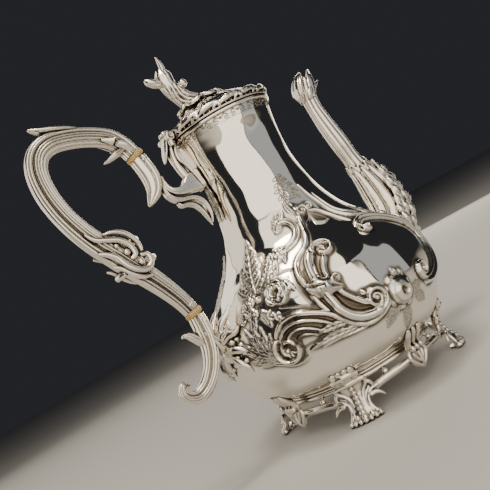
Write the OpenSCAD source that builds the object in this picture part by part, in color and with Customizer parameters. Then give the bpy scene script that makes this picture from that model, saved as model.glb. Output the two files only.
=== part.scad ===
// Footed silver coffee pot with a hinged lid, an insulated scroll handle and a swan-neck spout.
// The foot soles stand on z = 0. The pot's own axis is vertical, at x = axis_x.
// The spout points along +X and the handle along -X.

/* [Body] */
// Distance of the pot's axis from the origin, which is under the middle of the whole outline
axis_x = 12.9; // [8:0.1:18]
// Greatest radius of the belly
belly_r = 76.2; // [70:0.1:80]
// Radius of the mouth, outside
mouth_r = 36.2; // [35:0.1:37]
// Height of the mouth's edge above the table
mouth_z = 203.2; // [202:0.1:204]
// Thickness of the raised sheet
wall = 0.9; // [0.8:0.1:1.2]
// Number of pierced strainer holes across the middle row
strainer_across = 5; // [3:2:5]

/* [Foot gallery] */
// Radius of the double rail under the body
ring_r = 51.4; // [50:0.1:53]
// Radius of the lower rail
scroll_r = 56; // [54:0.1:57]
// Radius of the circle on which the feet stand
sole_r = 61.5; // [60:0.1:63]
// Radius of each flat sole
sole_pad_r = 4.4; // [3.5:0.1:5]

/* [Lid] */
// Radius of the cast border, outside
border_r = 38.6; // [38:0.1:40]
// Radius where dome, border and bezel meet
seat_r = 34.2; // [33.8:0.1:34.4]
// How far the finial's collar sits towards the handle from the lid's centre
collar_back = 4.4; // [0:0.1:6]
// Gap between the closed lid and the mouth's edge
lid_gap = 0.3; // [0.2:0.1:0.5]

/* [Hinge] */
// Distance of the hinge pin from the pot's axis
hinge_back = 41.5; // [41:0.1:43]
// Height of the hinge pin
hinge_z = 206.8; // [206:0.1:208]
// Radius of the pin
pin_r = 1.2; // [1:0.05:1.4]
// Clearance of the lid's knuckle round the pin
pin_clearance = 0.06; // [0.02:0.01:0.1]
// Radius of each knuckle
knuckle_r = 3; // [2.8:0.1:3.1]

/* [Insulators] */
// Thickness of each ivory slice
slice = 4; // [3:0.1:5]
// Radius of the round tenons inside the sockets
tenon_r = 2.5; // [2:0.1:3]
// Length of each tenon
tenon_len = 7.5; // [6:0.1:8]
// Radius of the cross pins
cross_pin_r = 0.6; // [0.5:0.05:0.8]

/* [Hidden] */
$fn = 72;
silver = [0.82, 0.81, 0.79];
bright = [0.9, 0.89, 0.86];
ivory = [0.86, 0.76, 0.52];

// Outer outline of the raised body, from the foot ring up to the straight mouth: [radius, height]
base_r = 46;
base_z = 26.6;
belly_top_z = 100;
// Height at which the belly and the neck are joined
neck_z = 118;
body_stations = [
    [base_r, base_z], [53, base_z], [59, 27.3], [63.8, 30.2], [69, 36.4], [73.8, 46],
    [belly_r, 56.5], [belly_r, 66], [74.8, 75.5], [71.8, 84], [66.6, 92.4], [60.4, 99.6],
    [54.4, 106], [46.3, 115.6], [40.2, 127], [36.3, 138], [33.7, 150], [32.2, 163],
    [32.5, 175.5], [33.8, 187], [35.5, 197], [mouth_r, mouth_z - 3]
];

// Centre line of the spout: [distance from the pot's axis, height, radius, radius across]
spout_stations = [
    [60, 71, 16, 16], [78, 73, 15.6, 15.6], [89, 82, 14.6, 14.6], [95.3, 93.5, 13.4, 13.4],
    [96.4, 104.5, 12.8, 12.8], [95.2, 115, 11.8, 11.8], [92.8, 125, 9.6, 9.6],
    [90, 134.5, 7.8, 7.8], [88.3, 143, 7, 7], [86.2, 157, 7.3, 7.3], [83.7, 173, 6.8, 6.8],
    [82.4, 187, 5.9, 5.9], [83, 197, 6, 6], [86, 206, 7.4, 7.2], [90.4, 216, 9.4, 8.6]
];
spout_wall = 1.1;
spout_steps = 4;
spout_joint = 7 * spout_steps;
spout_mouth_joint = 12 * spout_steps;

// Upper and lower insulator: [x, z] of the middle, and lean of the handle from the vertical
upper_at = [-67, 204.5];
upper_lean = 25;
lower_at = [-85.1, 102.6];
lower_lean = 12;
upper_half = [6.2, 5.2];
lower_half = [5.6, 4.8];
cross_pin_at = 5.2;

function along(at, lean, d) = [at[0] - d * sin(lean), at[1] + d * cos(lean)];

// Centre line of the grip from the upper to the lower insulator: [x, z, radius, radius across]
grip_top = along(upper_at, upper_lean, slice / 2);
grip_end = along(lower_at, lower_lean, slice / 2);
grip_stations = [
    [grip_top[0], grip_top[1], 6.1, 5.1], [-70.9, 213.5, 6.3, 5.4], [-77, 221, 6.4, 5.6],
    [-87.5, 226.2, 6.4, 5.8], [-100, 229.6, 6.5, 6], [-112, 230.4, 6.6, 6],
    [-121.4, 226.2, 6.6, 6], [-126.8, 217.4, 6.6, 6], [-128.4, 205, 6.7, 6.1],
    [-126.9, 191.5, 6.8, 6.2], [-122.8, 178, 7, 6.4], [-116.8, 165, 7.4, 6.6],
    [-109.6, 152.6, 7.6, 6.8], [-101.8, 139.4, 7.2, 6.3], [-94.4, 126.4, 6.5, 5.8],
    [-88.6, 114, 5.8, 5.2], [grip_end[0], grip_end[1], 5.5, 4.7]
];
thumb_leaf_stations = [
    [-101, 234, 2.6, 3.4], [-109, 237, 2.4, 5], [-115, 238.8, 1.8, 4.4], [-119.5, 241, 0.7, 1.4]
];
inner_spur_stations = [
    [-70.5, 212.5, 3, 3.4], [-76, 211.6, 2.6, 3.2], [-81.5, 210.6, 1.7, 2.6], [-86.6, 209.2, 0.6, 1]
];

// Upper socket: the claw that holds the insulator, and the scrolls that reach the neck
claw_top = along(upper_at, upper_lean, -slice / 2);
claw_stations = [
    [claw_top[0], claw_top[1], 6, 5], [-64.7, 197, 5.9, 5], [-64.1, 190.5, 5.6, 4.9],
    [-64.4, 184.5, 4.8, 4.4], [-67.2, 178.8, 3.2, 3.4], [-72.8, 174.6, 1.4, 2]
];
scroll_stations = [
    [-62, 191, 3, 3.6], [-60.6, 183, 2.8, 3.6], [-60.3, 176.5, 2.5, 3.4], [-57.2, 170, 2.4, 3.3],
    [-50.6, 166.4, 2.4, 3.3], [-42, 166, 2.5, 3.4], [-30, 167.4, 3, 3.8]
];
under_scroll_stations = [
    [-57.4, 169.6, 2, 2.8], [-53, 163.4, 2, 2.8], [-47.6, 158.2, 2.1, 3], [-43, 150.6, 2.2, 3.2],
    [-33, 141, 3, 3.6]
];
// Arm from the neck up to the hinge
arm_stations = [
    [-29, 164, 3, 3.6], [-38.6, 172.4, 2.6, 3.4], [-44.6, 179.4, 2.3, 3.2], [-46.6, 187.5, 2.3, 3.2],
    [-45.4, 195, 2.5, 3.6], [-42.6, 202, 2.4, 4.4]
];

// Lower socket: the stem under the insulator, its tail scroll and its branch to the belly
stem_top = along(lower_at, lower_lean, -slice / 2);
tail_stations = [
    [stem_top[0], stem_top[1], 5.4, 4.6], [-84.6, 93.5, 5.6, 4.7], [-85.2, 85, 5.4, 4.6],
    [-88, 76.4, 5, 4.4], [-93.8, 67.6, 4.8, 4.2], [-101.6, 60, 4.6, 4], [-108.6, 57.8, 4.4, 3.8],
    [-113.4, 60.4, 3.2, 3.4], [-113.2, 64.6, 1.6, 2]
];
branch_stations = [
    [-86, 90, 3.4, 4], [-84, 81, 4.4, 4.6], [-77, 73.6, 5.2, 5.4], [-64, 70, 6, 6]
];
heel_spur_stations = [
    [-88, 84, 2.6, 3], [-92.2, 87.6, 1.8, 2.6], [-96, 91, 0.7, 1.2]
];
lower_plate_z = 72.5;
lower_plate_r = 12;
plate_thick = 1;

// Foot and pendant, each in its own radial plane: [radius from the axis, height, half depth, half width]
foot_stations = [
    [68, 33.6, 1.2, 4], [63.4, 28.6, 2.8, 7.4], [58.6, 22.6, 4, 8.4], [57.4, 16.4, 3.6, 6.6],
    [60.4, 10.4, 3.1, 6], [64, 6.4, 2.7, 5.6], [64.4, 3.2, 2.1, 5], [sole_r, 1.9, 1.8, 4.4]
];
pendant_stations = [
    [65.6, 31.6, 1.1, 3], [60.4, 27.2, 2.4, 6.4], [57.6, 20.8, 2.8, 7.4], [57, 14.6, 2.5, 5.6],
    [57.6, 10, 1.8, 3.2], [58.2, 7.6, 0.7, 1]
];
foot_angles = [45, 135, 225, 315];
pendant_angles = [0, 90, 180, 270];
// Little tab behind the hinge's middle knuckle
thumb_tab_stations = [
    [-45.6, 208.6, 0.7, 1.4], [-44, 210.4, 1.4, 2.6], [-41.6, 210.6, 1.8, 2.9], [-38.8, 208.6, 1.4, 2.6]
];
leaf_width = 6;
knuckle_gap = 0.4;
rim_r = mouth_r + 1.8;
above_all = 300;
rail_r = 1.55;
upper_rail_z = 25;
lower_rail_z = 21.4;
scroll_z = 12.4;
bead_r = 2.2;

// Finial: a leaning fluted stem, its pointed bud, one turned-out leaf and one berry
collar_z = 219.6;
finial_z = collar_z + 3.6;
finial_stations = [
    [-4.4, 220, 6.4, 6.4], [-9.6, 225.4, 6.6, 6.4], [-14.8, 231.6, 6.4, 5.9], [-18.4, 238.6, 5.7, 5.2],
    [-19.9, 246, 5.3, 4.9], [-19.6, 252.4, 4.9, 4.4], [-18.8, 256.6, 2.6, 2.4]
];
bud_stations = [
    [-18.8, 250, 2.2, 2.2], [-18.6, 256, 2.3, 2.1], [-18.2, 260.6, 1.7, 1.5], [-17.8, 265, 0.3, 0.3]
];
leaf_stations = [
    [-21, 246.6, 2, 2], [-26, 247.6, 2.4, 3.2], [-30.4, 251.2, 1.8, 2.8], [-33.6, 255.6, 0.6, 0.8]
];
berry_at = [-9, 240.6];
berry_r = 2.6;
berry_stalk_stations = [[-14, 236.6, 1.2, 1.2], [-11.6, 238, 1, 1], [berry_at[0], berry_at[1], 1, 1]];
stud_r = 1.8;
nut_r = 4.2;
bore_over = 0.2;
dome_flat_r = 13;
dome_stations = [[seat_r, 208.2], [31, 211.6], [25.5, 215.2], [19.5, 217.9], [dome_flat_r, collar_z]];
dome_wall = 1;

// ---- curves ----

// One point of the smooth curve through b and c, with neighbours a and d
function through(a, b, c, d, t) =
    0.5 * ((2 * b) + (c - a) * t + (2 * a - 5 * b + 4 * c - d) * t * t
           + (3 * b - a - 3 * c + d) * t * t * t);

// The smooth curve through every station, with n steps between neighbours
function smooth(s, n) = let (last = len(s) - 1) concat(
    [for (i = [0 : last - 1], k = [0 : n - 1])
        through(s[max(i - 1, 0)], s[i], s[i + 1], s[min(i + 2, last)], k / n)],
    [s[last]]);

// Unit direction of the curve at point i
function heading(p, i) =
    let (a = p[max(i - 1, 0)], b = p[min(i + 1, len(p) - 1)], d = [b[0] - a[0], b[1] - a[1]])
    d / norm(d);

// The same outline moved inwards by d
function inset(p, d) =
    [for (i = [0 : len(p) - 1]) let (h = heading(p, i)) [p[i][0] - d * h[1], p[i][1] + d * h[0]]];

function reversed(p) = [for (i = [len(p) - 1 : -1 : 0]) p[i]];

// A solid swept along a curve in the XZ plane, from ring "first" to ring "last" of that curve
module swept(p, first, last, sides, thinner = 0) {
    points = [for (i = [first : last], j = [0 : sides - 1])
        let (h = heading(p, i), a = 360 * j / sides,
             u = (p[i][2] - thinner) * cos(a), v = (p[i][3] - thinner) * sin(a))
        [p[i][0] - h[1] * u, v, p[i][1] + h[0] * u]];
    rings = last - first;
    sides_faces = [for (i = [0 : rings - 1], j = [0 : sides - 1])
        let (k = (j + 1) % sides)
        [i * sides + j, i * sides + k, (i + 1) * sides + k, (i + 1) * sides + j]];
    polyhedron(points, concat(sides_faces,
        [[for (j = [sides - 1 : -1 : 0]) j]], [[for (j = [0 : sides - 1]) rings * sides + j]]));
}

module sweep(stations, steps = 4, sides = 10) {
    p = smooth(stations, steps);
    swept(p, 0, len(p) - 1, sides);
}

// ---- shared shapes ----

module on_axis() translate([axis_x, 0, 0]) children();

body_outline = concat(smooth(body_stations, 3), [[mouth_r, mouth_z]]);
body_inside = concat(
    [[base_r, base_z + wall]],
    [for (q = inset(smooth(body_stations, 3), wall))
        if ((q[0] > base_r || q[1] > belly_top_z) && q[1] < mouth_z - 3.5) q],
    [[mouth_r - wall, mouth_z - 3], [mouth_r - wall, mouth_z]]);

// The solid outline of the raised body between two heights
module body_block(low, high) {
    part = [for (q = body_outline) if (q[1] >= low && q[1] <= high) q];
    rotate_extrude() polygon(concat(
        [[0, part[0][1]]], part, [[0, part[len(part) - 1][1]]]));
}

// A round bar along the handle's line at an insulator, from d0 to d1 along it
module tenon_bar(at, lean, d0, d1, r) {
    start = along(at, lean, d0);
    translate([start[0], 0, start[1]]) rotate([0, -lean, 0]) cylinder(r = r, h = d1 - d0);
}

// The slab that an ivory slice takes out of the handle's line
module slice_room(at, lean) translate([at[0], 0, at[1]]) rotate([0, -lean, 0])
    cube([24, 24, slice], center = true);

// A cross pin's bore or the pin itself, along Y, at distance d from the insulator's middle
module cross_bar(at, lean, d, half_length) {
    c = along(at, lean, d);
    translate([c[0], half_length, c[1]]) rotate([90, 0, 0])
        cylinder(r = cross_pin_r, h = 2 * half_length, $fn = 24);
}

// ---- pot ----

module raised_sheet() rotate_extrude() polygon(concat(body_outline, reversed(body_inside)));

module body() color(bright) on_axis() difference() {
    raised_sheet();
    translate([0, 0, neck_z]) cylinder(r = belly_r, h = mouth_z);
    strainer_holes();
}

module neck() color(bright) on_axis() difference() {
    raised_sheet();
    cylinder(r = belly_r + 1, h = neck_z);
}

// Hexagonal field of holes through the wall, inside the spout's root
module strainer_holes() {
    pitch = 4.6;
    hole_r = 1.4;
    middle_z = 72;
    half = (strainer_across - 1) / 2;
    for (row = [-half : half], i = [0 : strainer_across - 1 - abs(row)])
        translate([60, (i - (strainer_across - 1 - abs(row)) / 2) * pitch,
                   middle_z + row * pitch * sin(60)])
            rotate([0, 90, 0]) cylinder(r = hole_r, h = 20, $fn = 24);
}

module base_plate() color(silver) on_axis()
    translate([0, 0, base_z]) cylinder(r = base_r, h = wall);

module mouth_rim() color(silver) on_axis() rotate_extrude() polygon([
    [mouth_r, mouth_z - 2.6], [rim_r - 0.6, mouth_z - 2.2], [rim_r, mouth_z - 1.6],
    [rim_r, mouth_z - 0.6], [rim_r - 0.6, mouth_z - 0.1], [mouth_r, mouth_z]]);

module gallery_ring() color(silver) on_axis() rotate_extrude() {
    translate([ring_r, upper_rail_z]) circle(r = rail_r, $fn = 32);
    translate([ring_r, lower_rail_z]) circle(r = rail_r, $fn = 32);
    translate([ring_r - 0.6, lower_rail_z]) square([1.2, upper_rail_z - lower_rail_z]);
}

module gallery_scrolls() color(silver) on_axis()
    for (a = foot_angles, s = [0, 1])
        rotate([0, 0, a + (s == 0 ? 5.5 : -41)]) rotate_extrude(angle = 35.5)
            translate([scroll_r, scroll_z]) circle(r = 1.7, $fn = 32);

module gallery_beads() color(silver) on_axis()
    for (a = foot_angles, s = [-22.5, 22.5]) rotate([0, 0, a + s]) {
        mid = (scroll_z + lower_rail_z) / 2;
        translate([(ring_r + scroll_r) / 2, 0, mid]) sphere(r = bead_r, $fn = 32);
        translate([scroll_r - 1, 0, scroll_z + 1]) rotate([0, -28, 0])
            cylinder(r = 0.9, h = lower_rail_z - scroll_z - 1.6, $fn = 24);
    }

module foot(i) color(silver) on_axis() rotate([0, 0, foot_angles[i]]) difference() {
    union() {
        sweep(foot_stations, 4, 12);
        translate([sole_r, 0, 0]) cylinder(r = sole_pad_r, h = 2.4, $fn = 48);
        for (s = [-1, 1]) {
            translate([60.5, s * 8, 9]) rotate([0, 90, 0]) cylinder(r = 3.4, h = 2.6, $fn = 32);
            translate([58.2, s * 9.4, 20]) rotate([0, 90, 0]) cylinder(r = 3.2, h = 3, $fn = 32);
        }
    }
    body_block(base_z, 50);
    translate([sole_r - 20, -20, -10]) cube([40, 40, 10]);
    gallery_cut();
}

module pendant(i) color(silver) on_axis() rotate([0, 0, pendant_angles[i]]) difference() {
    union() {
        sweep(pendant_stations, 4, 12);
        translate([58.6, 0, 20]) sphere(r = 3.4, $fn = 32);
    }
    body_block(base_z, 50);
    gallery_cut();
}

// Room for the double rail behind the feet and the pendants
module gallery_cut() rotate_extrude() translate([ring_r - 4, lower_rail_z - 3]) square([5.4, 10]);

// ---- spout ----

spout_line = smooth(spout_stations, spout_steps);

module spout_piece(first, last, sides = 16) difference() {
    swept(spout_line, first, last, sides);
    swept(spout_line, max(first - 1, 0), min(last + 1, len(spout_line) - 1), sides, spout_wall);
}

module spout_base() color(silver) on_axis() difference() {
    spout_piece(0, spout_joint, 18);
    body_block(45, 120);
}

module spout_tube() color(silver) on_axis() spout_piece(spout_joint, spout_mouth_joint);

module spout_mouth() color(silver) on_axis() difference() {
    swept(spout_line, spout_mouth_joint, len(spout_line) - 1, 16);
    swept(spout_line, spout_mouth_joint - 1, len(spout_line) - 1, 16, spout_wall);
    // the mouth is cut on a slant, with its pouring lip outwards
    translate([88, -20, 212.6]) rotate([0, -4, 0]) translate([-30, 0, 0]) cube([60, 40, 20]);
}

// ---- handle ----

module upper_socket() color(silver) on_axis() difference() {
    union() {
        sweep(claw_stations);
        sweep(scroll_stations);
        sweep(under_scroll_stations);
    }
    body_block(125, 195);
    slice_room(upper_at, upper_lean);
    tenon_bar(upper_at, upper_lean, -slice / 2 - tenon_len - bore_over, 0, tenon_r);
    cross_bar(upper_at, upper_lean, -cross_pin_at, 8);
    arm_room();
}

// The hinge arm passes in front of the scroll's root, which is let in round it
module arm_room() {
    p = smooth(arm_stations, 4);
    swept(p, 0, len(p) - 1, 10, -0.01);
}

module hinge_bracket() color(silver) on_axis() difference() {
    union() {
        sweep(arm_stations);
        translate([-hinge_back - 3, -8, 200.4]) cube([7, 16, 2.6]);
        for (s = [-1, 1]) translate([-hinge_back, s * 5.6, hinge_z]) {
            rotate([90, 0, 0]) cylinder(r = knuckle_r, h = 4.8, center = true, $fn = 48);
            translate([-2.6, -2.4, 202.6 - hinge_z]) cube([4.2, 4.8, hinge_z - 202.6]);
        }
    }
    body_block(125, 203.2);
    cylinder(r = rim_r, h = above_all);
    hinge_bar(pin_r, 30);
    hinge_bar(knuckle_r + knuckle_gap, leaf_width + knuckle_gap);
}

// A round bar along the hinge's own line
module hinge_bar(r, length) translate([-hinge_back, 0, hinge_z]) rotate([90, 0, 0])
    cylinder(r = r, h = length, center = true, $fn = 48);

module hinge_pin() color(silver) on_axis() hinge_bar(pin_r, 17);

module insulator(at, lean, half) color(ivory) on_axis() difference() {
    union() {
        translate([at[0], 0, at[1]]) rotate([0, -lean, 0]) translate([0, 0, -slice / 2])
            linear_extrude(slice) polygon([for (a = [15 : 30 : 345]) [half[0] * cos(a), half[1] * sin(a)]]);
        tenon_bar(at, lean, -slice / 2 - tenon_len, slice / 2 + tenon_len, tenon_r);
    }
    cross_bar(at, lean, -cross_pin_at, 8);
    cross_bar(at, lean, cross_pin_at, 8);
}

module upper_insulator() insulator(upper_at, upper_lean, upper_half);
module lower_insulator() insulator(lower_at, lower_lean, lower_half);

module upper_pins() color(silver) on_axis()
    for (s = [-1, 1]) cross_bar(upper_at, upper_lean, s * cross_pin_at, 4.6);

module lower_pins() color(silver) on_axis()
    for (s = [-1, 1]) cross_bar(lower_at, lower_lean, s * cross_pin_at, 4.2);

module handle_grip() color(silver) on_axis() difference() {
    union() {
        sweep(grip_stations, 4, 12);
        sweep(thumb_leaf_stations);
        sweep(inner_spur_stations);
    }
    slice_room(upper_at, upper_lean);
    slice_room(lower_at, lower_lean);
    tenon_bar(upper_at, upper_lean, 0, slice / 2 + tenon_len + bore_over, tenon_r);
    tenon_bar(lower_at, lower_lean, 0, slice / 2 + tenon_len + bore_over, tenon_r);
    cross_bar(upper_at, upper_lean, cross_pin_at, 8);
    cross_bar(lower_at, lower_lean, cross_pin_at, 8);
}

module lower_socket() color(silver) on_axis() difference() {
    union() {
        sweep(tail_stations);
        sweep(branch_stations);
        sweep(heel_spur_stations);
    }
    plated_block();
    slice_room(lower_at, lower_lean);
    tenon_bar(lower_at, lower_lean, -slice / 2 - tenon_len - bore_over, 0, tenon_r);
    cross_bar(lower_at, lower_lean, -cross_pin_at, 8);
}

// The belly with the thickness of the plate added
module plated_block() {
    part = [for (q = inset(smooth(body_stations, 3), -plate_thick)) if (q[1] >= 50 && q[1] <= 98) q];
    rotate_extrude() polygon(concat([[0, part[0][1]]], part, [[0, part[len(part) - 1][1]]]));
}

module lower_plate() color(silver) on_axis() difference() {
    intersection() {
        plated_block();
        translate([-90, 0, lower_plate_z]) rotate([0, 90, 0]) cylinder(r = lower_plate_r, h = 40);
    }
    body_block(45, 120);
}

// ---- lid ----

module lid_dome() color(bright) on_axis() difference() {
    outside = smooth(dome_stations, 4);
    inside = inset(outside, dome_wall);
    rotate_extrude() polygon(concat(
        outside, [[0, collar_z], [0, collar_z - dome_wall]],
        [[dome_flat_r - 1, collar_z - dome_wall]],
        [for (q = reversed(inside)) if (q[1] < collar_z - dome_wall - 0.1 && q[0] < seat_r) q],
        [[seat_r, 206.7]]));
    translate([-collar_back, 0, 200]) cylinder(r = stud_r + 0.1, h = 30, $fn = 32);
}

module lid_border() color(silver) on_axis() rotate_extrude() polygon([
    [seat_r, mouth_z + lid_gap], [border_r - 0.9, mouth_z + lid_gap], [border_r, mouth_z + 1.4],
    [border_r, mouth_z + 4.4], [border_r - 1.2, mouth_z + 6.2], [border_r - 2.8, mouth_z + 7.1],
    [seat_r, mouth_z + 6.4]]);

module lid_bezel() color(silver) on_axis() rotate_extrude()
    translate([seat_r - 1, mouth_z - 2.8]) square([1, 6]);

module lid_hinge_leaf() color(silver) on_axis() difference() {
    union() {
        hinge_bar(knuckle_r, leaf_width);
        translate([-hinge_back, -leaf_width / 2, hinge_z - 1.4]) cube([6, leaf_width, 3.4]);
        sweep(thumb_tab_stations);
    }
    cylinder(r = border_r, h = above_all);
    hinge_bar(pin_r + pin_clearance, 30);
}

module finial_collar() color(silver) on_axis() translate([-collar_back, 0, collar_z])
    rotate_extrude() polygon([
    [stud_r, 0], [8.4, 0], [12.6, 1.8], [15, 4.6], [14.4, 6.6], [11.4, 4.6], [8, 3.6], [stud_r, 3.6]]);

module finial() color(silver) on_axis() difference() {
    union() {
        sweep(finial_stations, 4, 12);
        sweep(bud_stations);
        sweep(leaf_stations);
        sweep(berry_stalk_stations);
        translate([berry_at[0], 0, berry_at[1]]) sphere(r = berry_r, $fn = 32);
    }
    translate([-40, -20, finial_z - 20]) cube([60, 40, 20]);
    translate([-collar_back, 0, finial_z - 1]) cylinder(r = stud_r, h = 6, $fn = 32);
    // keeps clear of the collar's upturned edge
    translate([-collar_back, 0, finial_z]) rotate_extrude() polygon([
        [8, -2], [8, 0.01], [11.4, 1.01], [14.4, 3.01], [15.2, 1], [15.2, -2]]);
}

module finial_stud() color(silver) on_axis() translate([-collar_back, 0, collar_z - 6.4])
    cylinder(r = stud_r, h = 14.6, $fn = 32);

module finial_washer() color(silver) on_axis()
    translate([-collar_back, 0, collar_z - dome_wall - 0.8]) difference() {
        cylinder(r = 5.4, h = 0.8, $fn = 48);
        translate([0, 0, -1]) cylinder(r = stud_r, h = 3, $fn = 32);
    }

module finial_nut() color(silver) on_axis()
    translate([-collar_back, 0, collar_z - dome_wall - 4]) difference() {
        cylinder(r = nut_r, h = 3.2, $fn = 6);
        translate([0, 0, -1]) cylinder(r = stud_r, h = 6, $fn = 32);
    }

body();
neck();
base_plate();
mouth_rim();
gallery_ring();
gallery_scrolls();
gallery_beads();
foot(0);  // foot_1
foot(1);  // foot_2
foot(2);  // foot_3
foot(3);  // foot_4
pendant(0);  // pendant_1
pendant(1);  // pendant_2
pendant(2);  // pendant_3
pendant(3);  // pendant_4
spout_base();
spout_tube();
spout_mouth();
upper_socket();
hinge_bracket();
upper_insulator();
upper_pins();
handle_grip();
lower_insulator();
lower_pins();
lower_socket();
lower_plate();
hinge_pin();
lid_dome();
lid_border();
lid_bezel();
lid_hinge_leaf();
finial_collar();
finial();
finial_stud();
finial_washer();
finial_nut();
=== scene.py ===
"""Looks of the footed silver coffee pot: chased body, cast feet, handle and spout, hinged lid and finial.

Shapes are worked out in millimetres round the pot's own axis, with the table at z = 0, and are moved
into the frame when each mesh is made.
"""

import math

import bpy
import numpy as np
from mathutils import Matrix, Quaternion, Vector


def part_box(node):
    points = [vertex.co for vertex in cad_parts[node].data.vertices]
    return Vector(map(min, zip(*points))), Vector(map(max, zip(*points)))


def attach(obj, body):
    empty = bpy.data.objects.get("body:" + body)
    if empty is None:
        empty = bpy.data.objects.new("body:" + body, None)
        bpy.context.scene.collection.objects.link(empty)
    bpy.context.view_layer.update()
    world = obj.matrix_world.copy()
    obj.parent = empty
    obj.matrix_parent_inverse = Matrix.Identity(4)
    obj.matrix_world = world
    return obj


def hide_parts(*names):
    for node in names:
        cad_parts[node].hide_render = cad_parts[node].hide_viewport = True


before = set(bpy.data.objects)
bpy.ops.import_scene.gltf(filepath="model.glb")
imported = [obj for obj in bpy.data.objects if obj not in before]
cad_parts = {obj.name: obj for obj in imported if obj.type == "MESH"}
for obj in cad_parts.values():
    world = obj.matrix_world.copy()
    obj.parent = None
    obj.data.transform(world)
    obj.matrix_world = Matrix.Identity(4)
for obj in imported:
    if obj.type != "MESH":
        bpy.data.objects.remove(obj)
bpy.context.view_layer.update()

MM = 0.001
body_low, body_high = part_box("body")
AXIS_X = (body_low.x + body_high.x) / 2 / MM
random = np.random.default_rng(7)


# ---- curves and meshes ----


def spline(points, steps):
    """The smooth curve through every point, with that many steps between neighbours."""
    p = np.array(points, float)
    q = np.vstack([p[:1], p, p[-1:]])
    t = np.linspace(0, 1, steps, endpoint=False)[:, None]
    runs = []
    for i in range(len(p) - 1):
        a, b, c, d = q[i : i + 4]
        runs.append(
            b + 0.5 * t * (c - a + t * (2 * a - 5 * b + 4 * c - d + t * (3 * b - a - 3 * c + d)))
        )
    return np.vstack([*runs, p[-1:]])


def grid_faces(rows, columns, wrap_rows=False):
    """Quads of a grid of points, row by row. Each row is a closed ring."""
    i = np.arange(rows if wrap_rows else rows - 1)
    j = np.arange(columns)
    i, j = np.meshgrid(i, j, indexing="ij")
    down, right = (i + 1) % rows, (j + 1) % columns
    quads = [i * columns + j, down * columns + j, down * columns + right, i * columns + right]
    return np.stack(quads, -1).reshape(-1, 4)


def closed_faces(rings, sides, flip=False):
    """Faces of closed rings with a fan at each end, whose two middle points come after the rings."""
    k = np.arange(sides)
    after, last = (k + 1) % sides, (rings - 1) * sides
    start, end = np.full(sides, rings * sides), np.full(sides, rings * sides + 1)
    quads = grid_faces(rings, sides)
    if flip:
        quads = quads[:, ::-1]
        k, after = after, k
    return [quads, np.stack([start, k, after], -1), np.stack([end, last + after, last + k], -1)]


def tangents(path):
    """Unit directions along a path."""
    along_path = np.gradient(path, axis=0)
    return along_path / np.linalg.norm(along_path, axis=1)[:, None]


def frame_along(path, across):
    """Unit directions at right angles to a path: the one nearest to across, and the one square to both."""
    tangent = tangents(path)
    side = np.broadcast_to(np.asarray(across, float), path.shape)
    side = side - (side * tangent).sum(1)[:, None] * tangent
    side = side / np.linalg.norm(side, axis=1)[:, None]
    return side, np.cross(tangent, side)


def outward_normals(outline):
    """Unit normals of an outline of [radius, z] that runs upward or inward over the outside."""
    tangent = tangents(outline)
    return np.stack([tangent[:, 1], -tangent[:, 0]], -1)


def around(r, z, a):
    """Points at radius r and height z, at the angles a round the axis."""
    return np.stack([r * np.cos(a), r * np.sin(a), z + 0 * a], -1)


def tube(path, ru, rv, sides, across=(0, 1, 0), section=None):
    """A closed bar along a path. ru is its half depth, rv its half width along the direction across."""
    path = np.asarray(path, float)
    n = len(path)
    side, up = frame_along(path, across)
    phi = np.linspace(0, 2 * math.pi, sides, endpoint=False)
    scale = np.ones((n, sides))
    if section is not None:
        scale = section(np.linspace(0, 1, n)[:, None], phi[None, :]) * scale
    u = np.broadcast_to(ru, (n,))[:, None] * np.cos(phi) * scale
    v = np.broadcast_to(rv, (n,))[:, None] * np.sin(phi) * scale
    rings = path[:, None] + up[:, None] * u[..., None] + side[:, None] * v[..., None]
    return np.vstack([rings.reshape(-1, 3), path[:1], path[-1:]]), closed_faces(n, sides)


def bar(stations, steps, sides=16, across=(0, 1, 0), section=None):
    """A tube through stations of [x, y, z, half depth, half width]."""
    s = spline(stations, steps)
    return tube(s[:, :3], s[:, 3], s[:, 4], sides, across, section)


def in_plane(stations):
    """Stations of [x, z, half depth, half width] in the handle and spout plane, as bar() wants them."""
    return [(x, 0, z, u, v) for x, z, u, v in stations]


def ball(centre, radii, rings=10, sides=16):
    """A closed ellipsoid."""
    a = np.linspace(-math.pi / 2, math.pi / 2, rings + 1)[1:-1]
    phi = np.linspace(0, 2 * math.pi, sides, endpoint=False)
    unit = around(np.cos(a)[:, None], np.sin(a)[:, None], phi).reshape(-1, 3)
    points = np.vstack([unit, [[0, 0, -1], [0, 0, 1]]]) * np.broadcast_to(radii, (3,)) + centre
    return points, closed_faces(len(a), sides, flip=True)


def lathe(outline, sides):
    """A closed ring turned round the axis from a closed outline of [radius, z]."""
    outline = np.asarray(outline, float)
    a = np.linspace(0, 2 * math.pi, sides, endpoint=False)
    points = around(outline[:, :1], outline[:, 1:], a).reshape(-1, 3)
    return points, [grid_faces(len(outline), sides, wrap_rows=True)[:, ::-1]]


def lathe_at(centre, outline, sides=40):
    """A turned shape round an upright line at centre."""
    return moved(lathe(outline, sides), (*centre, 0))


def lathe_along_y(centre, outline, side=1):
    """A turned shape round a line along Y at [x, z], from a closed outline of [radius, y]."""
    points, faces = lathe(outline, 36)
    turned_points = np.stack([points[:, 0] + centre[0], side * points[:, 2], points[:, 1] + centre[1]], -1)
    return turned_points, faces if side < 0 else [f[:, ::-1] for f in faces]


def joined(shapes):
    """Several shapes as one."""
    points, faces, count = [], [], 0
    for p, fs in shapes:
        points.append(p)
        faces += [f + count for f in fs]
        count += len(p)
    return np.vstack(points), faces


def moved(shape, by):
    """A shape moved by [x, y, z]."""
    points, faces = shape
    return points + np.array(by), faces


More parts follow.
